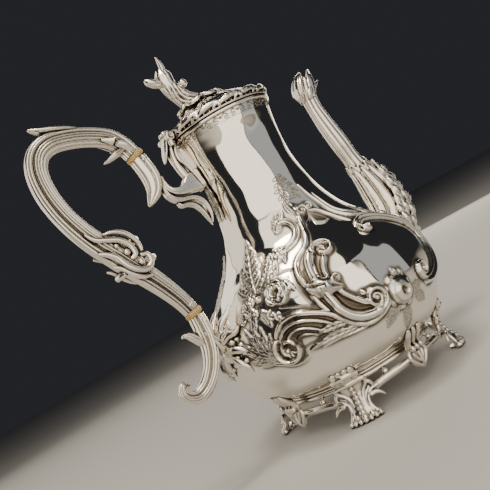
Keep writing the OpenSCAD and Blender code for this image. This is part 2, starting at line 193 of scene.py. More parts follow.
def turned(shape, degrees):
    """A shape turned round the pot's axis."""
    points, faces = shape
    a = math.radians(degrees)
    x, y = points[:, 0], points[:, 1]
    spun = np.stack([x * math.cos(a) - y * math.sin(a), x * math.sin(a) + y * math.cos(a), points[:, 2]], -1)
    return spun, faces


def mirrored(shape):
    """A shape and its mirror image across the handle and spout plane."""
    points, faces = shape
    return joined([shape, (points * [1, -1, 1], [f[:, ::-1] for f in faces])])


def mesh_of(name, shape):
    """A Blender mesh of a shape, in metres and in the frame."""
    points, faces = shape
    mesh = bpy.data.meshes.new(name)
    rows = [row for f in faces for row in f.tolist()]
    mesh.from_pydata(((points + [AXIS_X, 0, 0]) * MM).tolist(), [], rows)
    mesh.shade_smooth()
    return mesh


# how far round a point its recess is measured, and the depth in mm at which it is fully dark
RECESS_REACH, RECESS_DEPTH = 1.1, 0.25


def mark_recesses(mesh):
    """Writes how deep each point lies in a recess, from 0 to 1, as the attribute that the silver reads."""
    count = len(mesh.vertices)
    co, normal = np.zeros(count * 3, np.float32), np.zeros(count * 3, np.float32)
    ends_of = np.zeros(len(mesh.edges) * 2, np.int32)
    mesh.vertices.foreach_get("co", co)
    mesh.vertices.foreach_get("normal", normal)
    mesh.edges.foreach_get("vertices", ends_of)
    co, normal, (a, b) = co.reshape(-1, 3) / MM, normal.reshape(-1, 3), ends_of.reshape(-1, 2).T
    near = np.bincount(a, minlength=count) + np.bincount(b, minlength=count)
    spacing = np.median(np.linalg.norm(co[a] - co[b], axis=1))
    smooth = co.copy()
    for _ in range(int(np.clip((RECESS_REACH / spacing) ** 2, 3, 60))):
        total = np.stack(
            [np.bincount(a, smooth[b, k], count) + np.bincount(b, smooth[a, k], count) for k in range(3)], -1
        )
        smooth = 0.4 * smooth + 0.6 * total / np.maximum(near, 1)[:, None]
    hollow = np.clip(((smooth - co) * normal).sum(1) / RECESS_DEPTH, 0, 1)
    mesh.attributes.new("tone", "FLOAT", "POINT").data.foreach_set("value", hollow.astype(np.float32))


def placed(name, mesh, material, body, slot, *nodes):
    """An object of the pot that rides on a body and stands for CAD nodes."""
    if material is CAST:
        mark_recesses(mesh)
    piece = bpy.data.objects.new(name, mesh)
    bpy.context.scene.collection.objects.link(piece)
    mesh.materials.clear()
    mesh.materials.append(material)
    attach(piece, body)
    if nodes:
        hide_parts(*nodes)
    return piece


def show_cast(name, shape, node, body="pot"):
    """Places a shape in cast silver, in the place of one CAD node."""
    placed(name, mesh_of(name, shape), CAST, body, "cast_silver", node)


def cast(name, shapes, voxel, passes, floor=None):
    """One cast mesh from overlapping closed shapes, with softened joins. The voxel size is in millimetres."""
    mesh = mesh_of(name, joined(shapes))
    piece = bpy.data.objects.new(name + "_rough", mesh)
    bpy.context.scene.collection.objects.link(piece)
    remesh = piece.modifiers.new("remesh", "REMESH")
    remesh.mode = "VOXEL"
    remesh.voxel_size = voxel * MM * 1
    smooth = piece.modifiers.new("smooth", "SMOOTH")
    smooth.factor = 0.5
    smooth.iterations = passes
    evaluated = piece.evaluated_get(bpy.context.evaluated_depsgraph_get())
    done = bpy.data.meshes.new_from_object(evaluated)
    bpy.data.objects.remove(piece)
    bpy.data.meshes.remove(mesh)
    if floor is not None:
        co = np.zeros(len(done.vertices) * 3, np.float32)
        done.vertices.foreach_get("co", co)
        co[2::3] = np.maximum(co[2::3], floor * MM)
        done.vertices.foreach_set("co", co)
    done.shade_smooth()
    done.name = name
    return done


# ---- materials ----


def node_tree(name):
    """A new material with its nodes, links and main shader."""
    material = bpy.data.materials.new(name)
    material.use_nodes = True
    nodes, links = material.node_tree.nodes, material.node_tree.links
    return material, nodes, links, nodes["Principled BSDF"]


def new_node(nodes, kind, settings):
    """A shader node with its inputs set, each by its name or place."""
    node = nodes.new(kind)
    for key, value in settings.items():
        node.inputs[key].default_value = value
    return node


def noise(nodes, links, place, scale, detail):
    """The value of a noise over the object's own coordinates."""
    node = new_node(nodes, "ShaderNodeTexNoise", {"Scale": scale, "Detail": detail})
    links.new(place.outputs["Object"], node.inputs["Vector"])
    return node.outputs["Fac"]


def bumped(nodes, links, shader, source, strength, distance):
    """Gives the shader a bump from a value. The distance is in millimetres."""
    bump = new_node(nodes, "ShaderNodeBump", {"Strength": strength, "Distance": distance * MM})
    links.new(source, bump.inputs["Height"])
    links.new(bump.outputs["Normal"], shader.inputs["Normal"])


def silver(name, tint, rough, tarnish_and_shade, reach, bump):
    """Silver with faint wiping marks and hand-polished unevenness. Its recesses are darkened to brown: the
    tone attribute as tarnish, and an occlusion measure that paints shade wherever nearby surfaces, of this
    part or of others, close round a point.
    """
    material, nodes, links, shader = node_tree(name)
    shader.inputs["Metallic"].default_value = 1.0
    place = nodes.new("ShaderNodeTexCoord")
    # painted shade: ambient occlusion darkens the colour to brown where nearby surfaces, also those of other
    # parts, hem a point in, on top of the tarnish in real recesses
    recess = new_node(nodes, "ShaderNodeAmbientOcclusion", {"Distance": reach * MM})
    recess.samples = 6
    shaded = {"From Min": 0.52, "From Max": 0.93, "To Min": tarnish_and_shade, "To Max": 0.0}
    deep = new_node(nodes, "ShaderNodeMapRange", shaded)
    links.new(recess.outputs["AO"], deep.inputs["Value"])
    mark = nodes.new("ShaderNodeAttribute")
    mark.attribute_name = "tone"
    # the darker of the painted occlusion shade and the tone attribute's tarnish
    both = nodes.new("ShaderNodeMath")
    both.operation = "MAXIMUM"
    links.new(deep.outputs["Result"], both.inputs[0])
    links.new(mark.outputs["Fac"], both.inputs[1])
    darkened_by_patina_and_shade = both.outputs["Value"]
    browns = {"Color1": (0.045, 0.033, 0.024, 1), "Color2": (0.11, 0.08, 0.052, 1)}
    brown_of_patina_and_shade = new_node(nodes, "ShaderNodeMixRGB", browns)
    links.new(noise(nodes, links, place, 90, 5), brown_of_patina_and_shade.inputs["Fac"])
    colour = new_node(nodes, "ShaderNodeMixRGB", {"Color1": (*tint, 1)})
    links.new(darkened_by_patina_and_shade, colour.inputs["Fac"])
    links.new(brown_of_patina_and_shade.outputs["Color"], colour.inputs["Color2"])
    links.new(colour.outputs["Color"], shader.inputs["Base Color"])
    finish = new_node(nodes, "ShaderNodeMapRange", {"To Min": rough * 0.7, "To Max": rough * 1.5})
    links.new(noise(nodes, links, place, 700, 3), finish.inputs["Value"])
    dull = new_node(nodes, "ShaderNodeMath", {1: 0.3})
    dull.operation = "MULTIPLY_ADD"
    links.new(darkened_by_patina_and_shade, dull.inputs[0])
    links.new(finish.outputs["Result"], dull.inputs[2])
    links.new(dull.outputs["Value"], shader.inputs["Roughness"])
    bumped(nodes, links, shader, noise(nodes, links, place, 34, 1), bump, 7)
    return material


def ivory():
    """Aged ivory: warm, slightly translucent, with fine grain lines."""
    material, nodes, links, shader = node_tree("ivory")
    place = nodes.new("ShaderNodeTexCoord")
    grain = new_node(nodes, "ShaderNodeTexWave", {"Scale": 260, "Distortion": 7, "Detail": 3})
    grain.bands_direction = "Z"
    links.new(place.outputs["Object"], grain.inputs["Vector"])
    ramp = nodes.new("ShaderNodeValToRGB")
    ramp.color_ramp.elements[0].color = (0.34, 0.20, 0.055, 1)
    ramp.color_ramp.elements[1].color = (0.70, 0.50, 0.21, 1)
    links.new(grain.outputs["Fac"], ramp.inputs["Fac"])
    links.new(ramp.outputs["Color"], shader.inputs["Base Color"])
    shader.inputs["Roughness"].default_value = 0.32
    shader.inputs["Subsurface Weight"].default_value = 0.15
    shader.inputs["Subsurface Radius"].default_value = (0.002, 0.0012, 0.0006)
    bumped(nodes, links, shader, grain.outputs["Fac"], 0.15, 0.1)
    return material


POLISHED = silver("polished_silver", (0.95, 0.895, 0.8), rough=0.06, tarnish_and_shade=0.7, reach=1.4, bump=0.5)
CAST = silver("cast_silver", (0.93, 0.865, 0.76), rough=0.17, tarnish_and_shade=1.0, reach=2.4, bump=0.1)
PLAIN = silver("plain_silver", (0.88, 0.86, 0.82), rough=0.18, tarnish_and_shade=0.6, reach=1.0, bump=0.03)
ENGRAVED = silver("engraved_silver", tint=(0.36, 0.32, 0.27), rough=0.35, tarnish_and_shade=0.6, reach=0.5, bump=0.0)
IVORY = ivory()


# ---- chased body ----

WALL = 0.9
MOUTH_R, MOUTH_Z = 36.2, 203.2
BASE_R, BASE_Z = 46, 26.6
BODY_STATIONS = [(BASE_R, BASE_Z), (53, BASE_Z), (59, 27.3), (63.8, 30.2), (69, 36.4), (73.8, 46),
                 (76.2, 56.5), (76.2, 66), (74.8, 75.5), (71.8, 84), (66.6, 92.4), (60.4, 99.6),
                 (54.4, 106), (46.3, 115.6), (40.2, 127), (36.3, 138), (33.7, 150), (32.2, 163),
                 (32.5, 175.5), (33.8, 187), (35.5, 197), (MOUTH_R, MOUTH_Z - 3)]


def body_outline(spacing):
    """Outer outline of the body as [radius, z], evenly spaced, and its outward normals."""
    fine = np.vstack([spline(BODY_STATIONS, 12), [[MOUTH_R, MOUTH_Z]]])
    length = np.concatenate([[0], np.cumsum(np.hypot(*np.diff(fine, axis=0).T))])
    s = np.linspace(0, length[-1], int(length[-1] / spacing))
    line = np.stack([np.interp(s, length, fine[:, 0]), np.interp(s, length, fine[:, 1])], -1)
    return s, line, outward_normals(line)


def ends(t, first, last):
    """1 along a stroke, falling to 0 over the shares first and last of its length."""
    rise = np.clip(t / max(first, 1e-3), 0, 1)
    fall = np.clip((1 - t) / max(last, 1e-3), 0, 1)
    return np.sqrt(np.minimum(rise, fall) + 1e-9)


def roll(u):
    """The height of a round moulding, u = 0 at its middle and 1 at its edge."""
    return np.clip(1 - u * u, 0, 1) ** 0.7


class Relief:
    """Chasing on the half of the body from the handle (-180 degrees) round to the spout (0 degrees)."""

    def __init__(self, spacing, columns):
        self.s, self.line, self.normal = body_outline(spacing)
        self.theta = np.linspace(-180, 0, columns // 2 + 1)
        self.h = np.zeros((len(self.s), len(self.theta)), np.float32)
        self.tone = np.zeros_like(self.h)

    def at(self, theta, z):
        """A place on the body as [theta, distance along the outline]."""
        return theta, np.interp(z, self.line[:, 1], self.s)

    def radius(self, s):
        """The body's radius at a distance along the outline."""
        return np.interp(s, self.s, self.line[:, 0])

    def trace(self, path, reach):
        """Near a curve of [theta, z]: the distance to it, the share of the way along it, and the side."""
        p = spline(path, 16)
        theta, s = p[:, 0], np.interp(p[:, 1], self.line[:, 1], self.s)
        r = self.radius(s)
        length = np.concatenate([[0], np.cumsum(np.hypot(np.radians(np.diff(theta)) * r[1:], np.diff(s)))])
        count = max(int(length[-1] / 0.35), 3)
        even = np.linspace(0, length[-1], count)
        theta, s = np.interp(even, length, theta), np.interp(even, length, s)
        r = self.radius(s)
        tx, ty = np.gradient(np.radians(theta)) * r, np.gradient(s)
        best = np.full(self.h.shape, reach, np.float32)
        along, side = np.zeros_like(best), np.zeros_like(best)
        for k in range(count):
            turn = np.degrees(reach / r[k])
            j0, j1 = np.searchsorted(self.theta, [theta[k] - turn, theta[k] + turn])
            i0, i1 = np.searchsorted(self.s, [s[k] - reach, s[k] + reach])
            dx = np.radians(self.theta[j0:j1] - theta[k])[None, :] * r[k]
            dy = (self.s[i0:i1] - s[k])[:, None]
            d = np.hypot(dx, dy)
            near = d < best[i0:i1, j0:j1]
            best[i0:i1, j0:j1][near] = d[near]
            along[i0:i1, j0:j1][near] = k / (count - 1)
            side[i0:i1, j0:j1][near] = np.sign(tx[k] * dy - ty[k] * dx)[near]
        return best, along, side

    def lift(self, value):
        """Raises the surface to value, where that is higher, with a soft join."""
        soft = 0.25
        merged = 0.5 * (self.h + value + np.sqrt((self.h - value) ** 2 + soft**2) - soft)
        self.h = np.where(value > 0, merged, self.h)

    def ridge(self, path, width, height, taper=(0.2, 0.2), narrow=0.45, beside=False):
        """A raised stroke: a roll, or a roll with a thin one beside it."""
        d, t, side = self.trace(path, width)
        e = ends(t, *taper)
        half = width / 2 * (narrow + (1 - narrow) * e)
        u = d / half
        if beside:
            v = u * side
            wide = roll(np.clip((v + 0.3) / 0.7, -1, 1))
            thin = roll(np.clip((v - 0.72) / 0.28, -1, 1))
            form = np.maximum(wide, 0.7 * thin)
        else:
            form = roll(np.minimum(u, 1))
        self.lift(np.where(u < 1, height * (0.35 + 0.65 * e) * form, 0))

    def volute(self, centre, r, turns, start, way, width, height, boss=0.3):
        """A spiral ridge that winds in from radius r to a round boss."""
        a = np.linspace(0, turns * 2 * math.pi, int(10 * turns) + 4)
        rho = r * (1 - a / a[-1] * 0.78)
        theta0, s0 = self.at(*centre)
        phi = math.radians(start) + way * a
        theta = theta0 + np.degrees(rho * np.cos(phi) / self.radius(s0))
        z = np.interp(s0 + rho * np.sin(phi), self.s, self.line[:, 1])
        self.ridge(np.stack([theta, z], -1), width, height, taper=(0.05, 0.5), narrow=0.5)
        self.dome(centre, r * boss, height * 1.1)

    def darken(self):
        """Marks the recesses beside raised work, where polish never reaches."""
        around = self.h
        for step in (1, 2, 3):
            for axis in (0, 1):
                around = (np.roll(around, step, axis) + np.roll(around, -step, axis) + around) / 3
        hollow = np.clip((around - self.h - 0.05) / 0.36, 0, 1)
        self.tone = np.clip(np.maximum(self.tone, 0.95 * hollow**0.8), 0, 0.95)

    def stain(self, path, width, strength):
        """A darkened, slightly sunk band along a curve."""
        d, _, _ = self.trace(path, width)
        band = np.exp(-((d / (width / 2)) ** 4)) * (d < width)
        self.h = self.h - 0.25 * band
        self.tone = np.maximum(self.tone, strength * band)

    def fan(self, centre, r, start, spread, lobes, height):
        """A shell of lobes that opens from centre over the angles start to start + spread, in degrees."""
        rho, phi = self.polar(centre)
        share = ((np.degrees(phi) - start) % 360) / spread
        wave = np.abs(np.sin(math.pi * lobes * share))
        edge = r * (0.82 + 0.18 * wave**0.7) * (0.75 + 0.25 * np.sin(math.pi * np.clip(share, 0, 1)) ** 0.5)
        u = rho / edge
        form = (0.35 + 0.65 * u) * np.clip((1 - u) / 0.18, 0, 1) ** 0.5 * (0.45 + 0.55 * wave**0.6)
        self.lift(np.where((u < 1) & (share < 1), height * form, 0))

    def polar(self, centre):
        """Distance and direction from a place, over the whole surface."""
        theta0, s0 = self.at(*centre)
        dx = np.radians(self.theta - theta0)[None, :] * self.radius(s0)
        dy = (self.s - s0)[:, None]
        return np.hypot(dx, dy), np.arctan2(dy, dx + 0 * dy)

    def pit(self, centre, r, depth):
        """A round hollow."""
        rho, _ = self.polar(centre)
        hollow = np.exp(-((rho / r) ** 4))
        self.h = self.h - depth * hollow
        self.tone = np.maximum(self.tone, 0.85 * hollow)

    def ring(self, centre, r, depth):
        """A cut ring."""
        rho, _ = self.polar(centre)
        line = np.exp(-(((rho - r) / 0.45) ** 2))
        self.h = self.h - depth * line
        self.tone = np.maximum(self.tone, 0.6 * line)

    def dome(self, centre, r, height):
        """A round boss."""
        rho, _ = self.polar(centre)
        self.lift(np.where(rho < r, height * roll(rho / r), 0))

    def leaf(self, base, tip, width, height, bend, veins, lobes, stipple=0.0):
        """A leaf with a middle vein, slanting side veins and lobed edges."""
        (t0, s0), (t1, s1) = self.at(*base), self.at(*tip)
        r = self.radius((s0 + s1) / 2)
        dx, dy = math.radians(t1 - t0) * r, s1 - s0
        length = math.hypot(dx, dy)
        mid_theta = (t0 + t1) / 2 - math.degrees(bend * dy / length / r)
        mid_z = np.interp((s0 + s1) / 2 + bend * dx / length, self.s, self.line[:, 1])
        d, t, _ = self.trace([base, (mid_theta, mid_z), tip], width)
        edge = 0.80 + 0.20 * np.abs(np.cos(math.pi * lobes * t))
        half = width / 2 * np.clip(np.sin(math.pi * t**0.8), 0, 1) ** 0.75 * edge + 1e-3
        u = np.minimum(d / half, 1)
        ribs = 0.5 + 0.5 * np.cos(2 * math.pi * (veins * t - 0.55 * veins * 0.3 * u))
        form = roll(u) ** 0.7 * (0.72 + 0.28 * ribs * (1 - 0.4 * u)) * (1 - 0.55 * np.exp(-((d / 0.45) ** 2)))
        inside = u < 1
        self.lift(np.where(inside, height * form, 0))
        self.tone = np.where(inside, np.maximum(self.tone, 0.28 + 0.22 * (1 - ribs)), self.tone)
        if stipple:
            dots = random.random(self.h.shape)
            self.h = np.where(inside & (dots > 0.7), self.h - stipple, self.h)
            self.tone = np.where(inside & (dots > 0.62), 0.7, self.tone)

    def rose(self, centre, r, height, petals=5):
        """An open rose: two rings of cupped petals and a hollow boss."""
        rho, phi = self.polar(centre)
        for ring, (share, lift, turn) in enumerate([(1.0, 0.62, 0.0), (0.72, 0.85, 0.6), (0.48, 1.0, 0.2)]):
            edge = r * share * (0.84 + 0.16 * np.abs(np.cos(petals / 2 * (phi + turn))))
            u = rho / edge
            cup = lift * (0.55 + 0.45 * u**3) * np.clip((1 - u) / 0.12, 0, 1) ** 0.5
            crease = 1 - 0.25 * np.exp(-((np.sin(petals / 2 * (phi + turn + math.pi / petals)) / 0.16) ** 2))
            self.lift(np.where(u < 1, height * cup * crease, 0))
            groove = np.abs(u - 1) < 0.07
            self.h = np.where(groove & (ring > 0), self.h - 0.25 * height * share * 0.4, self.h)
        self.dome(centre, 0.24 * r, height * 1.15)
        pit = np.exp(-((rho / (0.1 * r)) ** 2))
        self.h = self.h - height * 0.5 * pit
        self.tone = np.maximum(self.tone, 0.6 * pit)


def chase(relief):
    """All the raised work on one side of the body."""
    # side panel: a broad double scroll with a shell wrapped round it, beside a long smooth ribbon
    relief.ridge([(-106.5, 121.3), (-108.7, 117), (-111, 111), (-114.4, 106), (-118.5, 102.6), (-123, 100.6),
                  (-127, 97), (-128.3, 91.5), (-127.6, 84.7), (-126.8, 76.6), (-125.2, 69.3), (-123, 62.9),
                  (-120.2, 57.2), (-116, 52.4), (-111, 49.6), (-104.6, 50.6), (-99.6, 54.2), (-97.6, 59)],
                 3.6, 2.0, (0.12, 0.06))
    relief.ridge([(-113.5, 101.5), (-117.4, 98.6), (-120.6, 94.4), (-122, 89.2), (-122.2, 83.7), (-121.6, 76),
                  (-120.8, 69.6), (-119.8, 64.3), (-117, 58.8), (-112.4, 54.8), (-106, 53.6), (-101.6, 56.2)],
                 6.4, 4.2, (0.1, 0.08), 0.6)
    relief.ridge([(-111.5, 94), (-115.3, 90), (-117.3, 84.5), (-116.9, 78), (-115.4, 71.4), (-112.8, 66.3),
                  (-109.6, 61.6), (-106.6, 59)], 4.2, 3.6, (0.1, 0.1), 0.6)
    relief.stain([(-114.4, 96.6), (-118, 91), (-119.4, 84.5)], 2.2, 0.9)
    relief.stain([(-117.6, 71), (-116.2, 65), (-113, 60), (-108.6, 57.4)], 2.0, 0.9)
    relief.stain([(-124.6, 92), (-125, 84), (-124, 75), (-122.8, 67)], 2.2, 0.75)
    relief.volute((-110.6, 97.2), 6.6, 1.5, 185, -1, 2.8, 3.8, 0.22)
    relief.volute((-104.4, 59.9), 6.8, 1.8, 235, 1, 2.9, 3.8, 0.22)
    relief.dome((-108, 65.8), 2.1, 2.8)
    relief.leaf((-128.4, 82.5), (-113.4, 73.6), 13.5, 6.4, 1.2, 2, 3)
    relief.dome((-119.6, 78), 3.4, 6.6)
    relief.volute((-114.6, 79.4), 2.6, 1.1, 200, -1, 1.8, 5.6, 0.5)
    relief.ridge([(-73, 50.5), (-66, 51), (-58, 54), (-51, 60), (-46, 67), (-44.5, 74), (-46, 81.5),
                  (-52, 89), (-60, 95), (-69, 99.5), (-77, 101), (-83, 99)], 5.5, 3.4,
                 (0.06, 0.08), 0.7, beside=True)
    relief.volute((-80.5, 95.5), 4.4, 1.4, 60, 1, 2.2, 3.2)
    relief.volute((-72.4, 58.2), 5.6, 1.7, 270, -1, 2.4, 3.4)
    # long ribbons from the neck round to the spout
    relief.ridge([(-83, 139.5), (-82.5, 131.7), (-81, 123.3), (-80, 115), (-76, 108), (-68, 103.5),
                  (-59, 100), (-49, 94), (-42, 87), (-38, 79), (-37, 70)], 2.8, 1.9, (0.15, 0.3))
    relief.ridge([(-76, 131), (-75.5, 123), (-74.5, 115), (-69, 109), (-60, 105)], 2.0, 1.2, (0.3, 0.3))
    relief.ridge([(-96.5, 122), (-90, 119.5), (-85.5, 114), (-83, 107.5), (-80, 103.5)], 2.6, 1.6,
                 (0.2, 0.2))
    # rose like a button, its crown of petals and leaves
    for tip, width in (((-94.2, 66.6), 5.0), ((-90.4, 69.8), 5.4), ((-86.2, 67.6), 5.0),
                       ((-96.2, 62.4), 4.0)):
        relief.leaf((-89.8, 57.5), tip, width, 2.4, 0, 3, 1)
    relief.fan((-91.8, 55.8), 11.4, 0, 360, 8, 1.8)
    relief.dome((-91.8, 55.8), 8.8, 5.8)
    relief.ring((-91.8, 55.8), 6.2, 0.15)
    relief.pit((-91.8, 55.8), 2.2, 3.4)
    relief.leaf((-94.5, 50.5), (-105, 41), 8.5, 0.7, -1.2, 7, 3, 0.16)
    relief.leaf((-92, 46.5), (-94, 33.7), 8.5, 0.7, 0.8, 7, 3, 0.16)
    relief.leaf((-85, 48.5), (-77.5, 42), 8.5, 0.7, 1.2, 6, 3, 0.16)
    relief.leaf((-84.5, 53), (-77, 52), 5.5, 0.7, 0.6, 5, 2, 0.16)
    # double volutes with a feathered fan, and the fringed scroll over the panel
    relief.volute((-100.4, 123.6), 3.7, 1.5, 320, 1, 1.5, 2.2)
    relief.volute((-92.6, 124.2), 3.2, 1.4, 220, -1, 1.4, 2.0)
    for k in range(9):
        tip = (-89.6 - 1.3 * k, 110.4 - 0.55 * k + 0.09 * k * k)
        relief.ridge([(-97.4, 119.6), ((-97.4 + tip[0]) / 2 + 0.4, (119.6 + tip[1]) / 2 + 0.6), tip], 1.3,
                     0.7, (0.2, 0.5))
    relief.ridge([(-103.8, 127), (-105.6, 121), (-107.6, 116), (-110.6, 111.5)], 2.2, 1.2, (0.3, 0.3))
    relief.leaf((-107.5, 124), (-108.6, 134.5), 5.5, 1.1, 0.8, 5, 1)
    relief.ridge([(-104, 130), (-106, 134), (-105, 138), (-101.6, 139.4), (-99.4, 137.4), (-101, 135.4)],
                 1.3, 0.7)
    relief.ridge([(-128.3, 120.4), (-126, 122.6), (-120.8, 123.4), (-116.2, 121.2), (-114.4, 116.4),
                  (-117, 112), (-121.6, 109), (-126.6, 107.8), (-131.2, 107.6)], 4.6, 2.2,
                 (0.12, 0.12), 0.6, beside=True)
    for tip in ((-130.6, 119), (-130.4, 123.6), (-127, 127.4), (-121, 130), (-114.4, 129.2)):
        relief.leaf((-122.5, 121.6), tip, 4.2, 1.6, 0.6, 4, 1)
    for tip in ((-136.4, 110), (-138, 106), (-136, 102), (-131.6, 100.4)):
        relief.leaf((-128.5, 108.4), tip, 4.4, 1.6, -0.6, 4, 1)
    # stippled leaves, the second rose and the small blossoms beside it
    relief.leaf((-152, 93), (-156.4, 125), 15, 1.1, 1.5, 9, 4, 0.14)
    relief.leaf((-150.6, 93.5), (-139.4, 110.4), 9.5, 1.2, -1.2, 8, 4, 0.14)
    relief.leaf((-149.5, 93), (-135.8, 101.6), 7.5, 1.2, -1.2, 6, 3, 0.12)
    relief.leaf((-153, 94), (-166, 111), 9.5, 1.1, 1.0, 8, 4, 0.14)
    relief.leaf((-154, 92), (-168.5, 101), 8, 1.1, 1.0, 7, 3, 0.14)
    relief.leaf((-152.6, 85), (-149.6, 73.5), 6.5, 1.3, 0.8, 6, 3)
    relief.leaf((-157, 84), (-158.5, 74.5), 6, 1.2, -0.6, 6, 3)
    relief.rose((-159.4, 90.6), 5.2, 2.6)
    relief.rose((-164.4, 85.4), 4.6, 2.2, 4)
    relief.rose((-157.4, 84.2), 4.2, 2.2, 4)
    relief.dome((-152.4, 90.4), 2.2, 2.6)
    relief.rose((-141.8, 89.2), 8.4, 3.8)
    relief.pit((-141.8, 89.4), 2.1, 2.6)
    relief.volute((-147.4, 79.4), 3.0, 1.2, 90, 1, 1.4, 1.8)
    relief.volute((-144.6, 76.8), 2.4, 1.1, 60, 1, 1.2, 1.6)
    # framed corner beside the rose
    relief.stain([(-138.4, 97.6), (-133.6, 97.4), (-129.8, 96.2)], 1.7, 0.75)
    relief.stain([(-130, 96), (-131, 90), (-130.9, 83.1), (-129, 74)], 2.6, 0.75)
    relief.stain([(-129.2, 74), (-135.2, 77.6), (-142, 81)], 1.6, 0.75)
    relief.dome((-134.6, 88.6), 2.0, 1.2)
    relief.leaf((-135.6, 93.4), (-132.6, 84.6), 3.4, 1.1, 0.4, 3, 1)
    # great scroll under the rose, running into the panel
    relief.ridge([(-150.6, 66.4), (-147.6, 70.4), (-144, 73.4), (-137.6, 73.9), (-130.9, 70.6),
                  (-124.6, 65.2), (-120.9, 58.4), (-116.6, 52.6)], 3.8, 3.2, (0.1, 0.25), 0.6)
    relief.ridge([(-149.4, 63.4), (-146.6, 67.4), (-142.4, 69.9), (-136.7, 69.4), (-131, 65.9),
                  (-126.6, 61.2), (-123.4, 56.4)], 2.6, 3.4, (0.1, 0.25), 0.6)
    relief.volute((-147.2, 58.3), 8.6, 1.55, 118, 1, 3.4, 4.2, 0.2)
    for k in range(5):
        a = math.radians(150 + 38 * k)
        relief.ridge([(-147.2 + 1.6 * math.cos(a), 58.3 + 2.2 * math.sin(a)),
                      (-147.2 + 3.6 * math.cos(a + 0.35), 58.3 + 4.8 * math.sin(a + 0.35))], 1.4, 2.6)
    relief.ridge([(-145.4, 60.6), (-144.6, 64.4), (-140.6, 66.2), (-136, 64.6), (-132.2, 61.4),
                  (-130.2, 58.8)], 2.0, 3.0, (0.2, 0.2))
    relief.ridge([(-142.4, 60.4), (-139.4, 62.4), (-136, 61.2), (-133, 58.6)], 1.8, 2.4, (0.2, 0.3))
    relief.stain([(-148.4, 60.6), (-147.4, 64.4), (-144.2, 67.6), (-139.5, 68.0), (-134.4, 65.8),
                  (-130, 62)], 2.0, 0.9)
    relief.stain([(-143.6, 58), (-141.4, 61.4), (-137.4, 63.4), (-133.8, 60.6), (-130.6, 57)], 2.4, 0.9)
    relief.stain([(-141, 55.6), (-136, 55.8), (-130, 55.6), (-124, 55)], 2.2, 0.8)
    relief.leaf((-119.8, 56.6), (-134.4, 58.6), 6.0, 2.6, -1.2, 6, 2)
    relief.leaf((-116.4, 51.6), (-140, 52.6), 5.6, 2.2, -1.6, 7, 2)
    relief.ridge([(-113, 48.6), (-120, 49.8), (-127, 51), (-134, 50.8)], 1.8, 1.4, (0.3, 0.3))
    relief.ridge([(-166, 55.4), (-160, 55.6), (-154.6, 52.6), (-150, 49.4), (-145, 48.6), (-140.6, 50.6)],
                 2.2, 1.4, (0.2, 0.3))
    # fronds by the handle, opening like a shell round a smooth shield
    for tip, width in (((-165.4, 80.4), 6.4), ((-160, 79.4), 6.2), ((-155.4, 77.4), 5.6),
                       ((-152.2, 71.6), 4.8), ((-169.8, 72.6), 6.2), ((-170, 66.6), 5.6), ((-170.6, 61), 5),
                       ((-165.2, 55.6), 4.6)):
        relief.leaf((-154.6, 56.8), tip, width, 2.0, 0.6, 6, 2)
    relief.dome((-176.4, 69.6), 6.6, 1.8)
    for k in range(7):
        a = math.radians(-70 + 30 * k)
        relief.dome((-176 + 6.2 * math.cos(a), 69 + 9.6 * math.sin(a)), 1.7, 2.4)
    # leaves and scrolls round the spout's root
    relief.ridge([(-36, 71), (-33, 61), (-26, 53), (-17, 48), (-8, 46)], 4.6, 2.8, (0.15, 0.2), 0.6,
                 beside=True)
    relief.volute((-31, 79), 4.6, 1.5, 200, -1, 2.2, 2.6)
    relief.volute((-7.5, 49.5), 3.6, 1.4, 250, 1, 1.8, 2.4)
    for tip in ((-30, 96), (-22, 103), (-13, 106)):
        relief.leaf((-15, 88), tip, 6, 1.5, 0.8, 6, 3)
    for tip in ((-27, 43), (-16, 37), (-5, 34)):
        relief.leaf((-18, 50), tip, 6.5, 0.8, 0.5, 5, 3, 0.12)


SPACING = 0.5
COLUMNS = 960
relief = Relief(SPACING, COLUMNS)
chase(relief)
relief.darken()
height = np.hstack([relief.h, relief.h[:, -2:0:-1]])
tone = np.hstack([relief.tone, relief.tone[:, -2:0:-1]])
theta_all = np.linspace(-180, 180, COLUMNS, endpoint=False)


def on_body(theta, z, out=0.0):
    """A point on the chased surface, in mm."""
    s = np.interp(z, relief.line[:, 1], relief.s)
    i = np.clip(np.round(np.interp(s, relief.s, np.arange(len(relief.s)))).astype(int), 0, len(relief.s) - 1)
    j = np.round((np.asarray(theta) + 180) / 360 * COLUMNS).astype(int) % COLUMNS
    rise = height[i, j] + out
    r = np.interp(s, relief.s, relief.line[:, 0]) + rise * np.interp(s, relief.s, relief.normal[:, 0])
    up = np.asarray(z) + rise * np.interp(s, relief.s, relief.normal[:, 1])
    a = np.radians(theta)
    return np.stack([r * np.cos(a), r * np.sin(a), up], -1)


def body_point(theta, z, out=0.0):
    """One point on the chased surface, in mm."""
    return on_body(np.array([theta]), np.array([z]), out)[0]


def body_mesh():
    """The chased sheet of body and neck, with its inner side."""
    a = np.radians(theta_all)
    r = relief.line[:, :1] + height * relief.normal[:, :1]
    z = relief.line[:, 1:] + height * relief.normal[:, 1:]
    outer = around(r, z, a)
    inner_line = relief.line - WALL * relief.normal
    keep = inner_line[(inner_line[:, 1] > BASE_Z + WALL) & (inner_line[:, 1] < MOUTH_Z - 0.5)][::-8]
    inner_line = np.vstack([[[MOUTH_R - WALL, MOUTH_Z]], keep, [[BASE_R, BASE_Z + WALL]]])
    inner = around(inner_line[:, :1], inner_line[:, 1:], a)
    rings = np.concatenate([outer, inner])
    faces = grid_faces(len(rings), COLUMNS, wrap_rows=True)[:, ::-1]
    mesh = mesh_of("body_chased", (rings.reshape(-1, 3), [faces]))
    marks = np.concatenate([tone, np.zeros(inner.shape[:2])])
    mesh.attributes.new("tone", "FLOAT", "POINT").data.foreach_set("value", marks.astype(np.float32).ravel())
    return mesh


placed("body_chased", body_mesh(), POLISHED, "pot", "polished_silver", "body", "neck")


# ---- engraving on the plain parts of the body ----


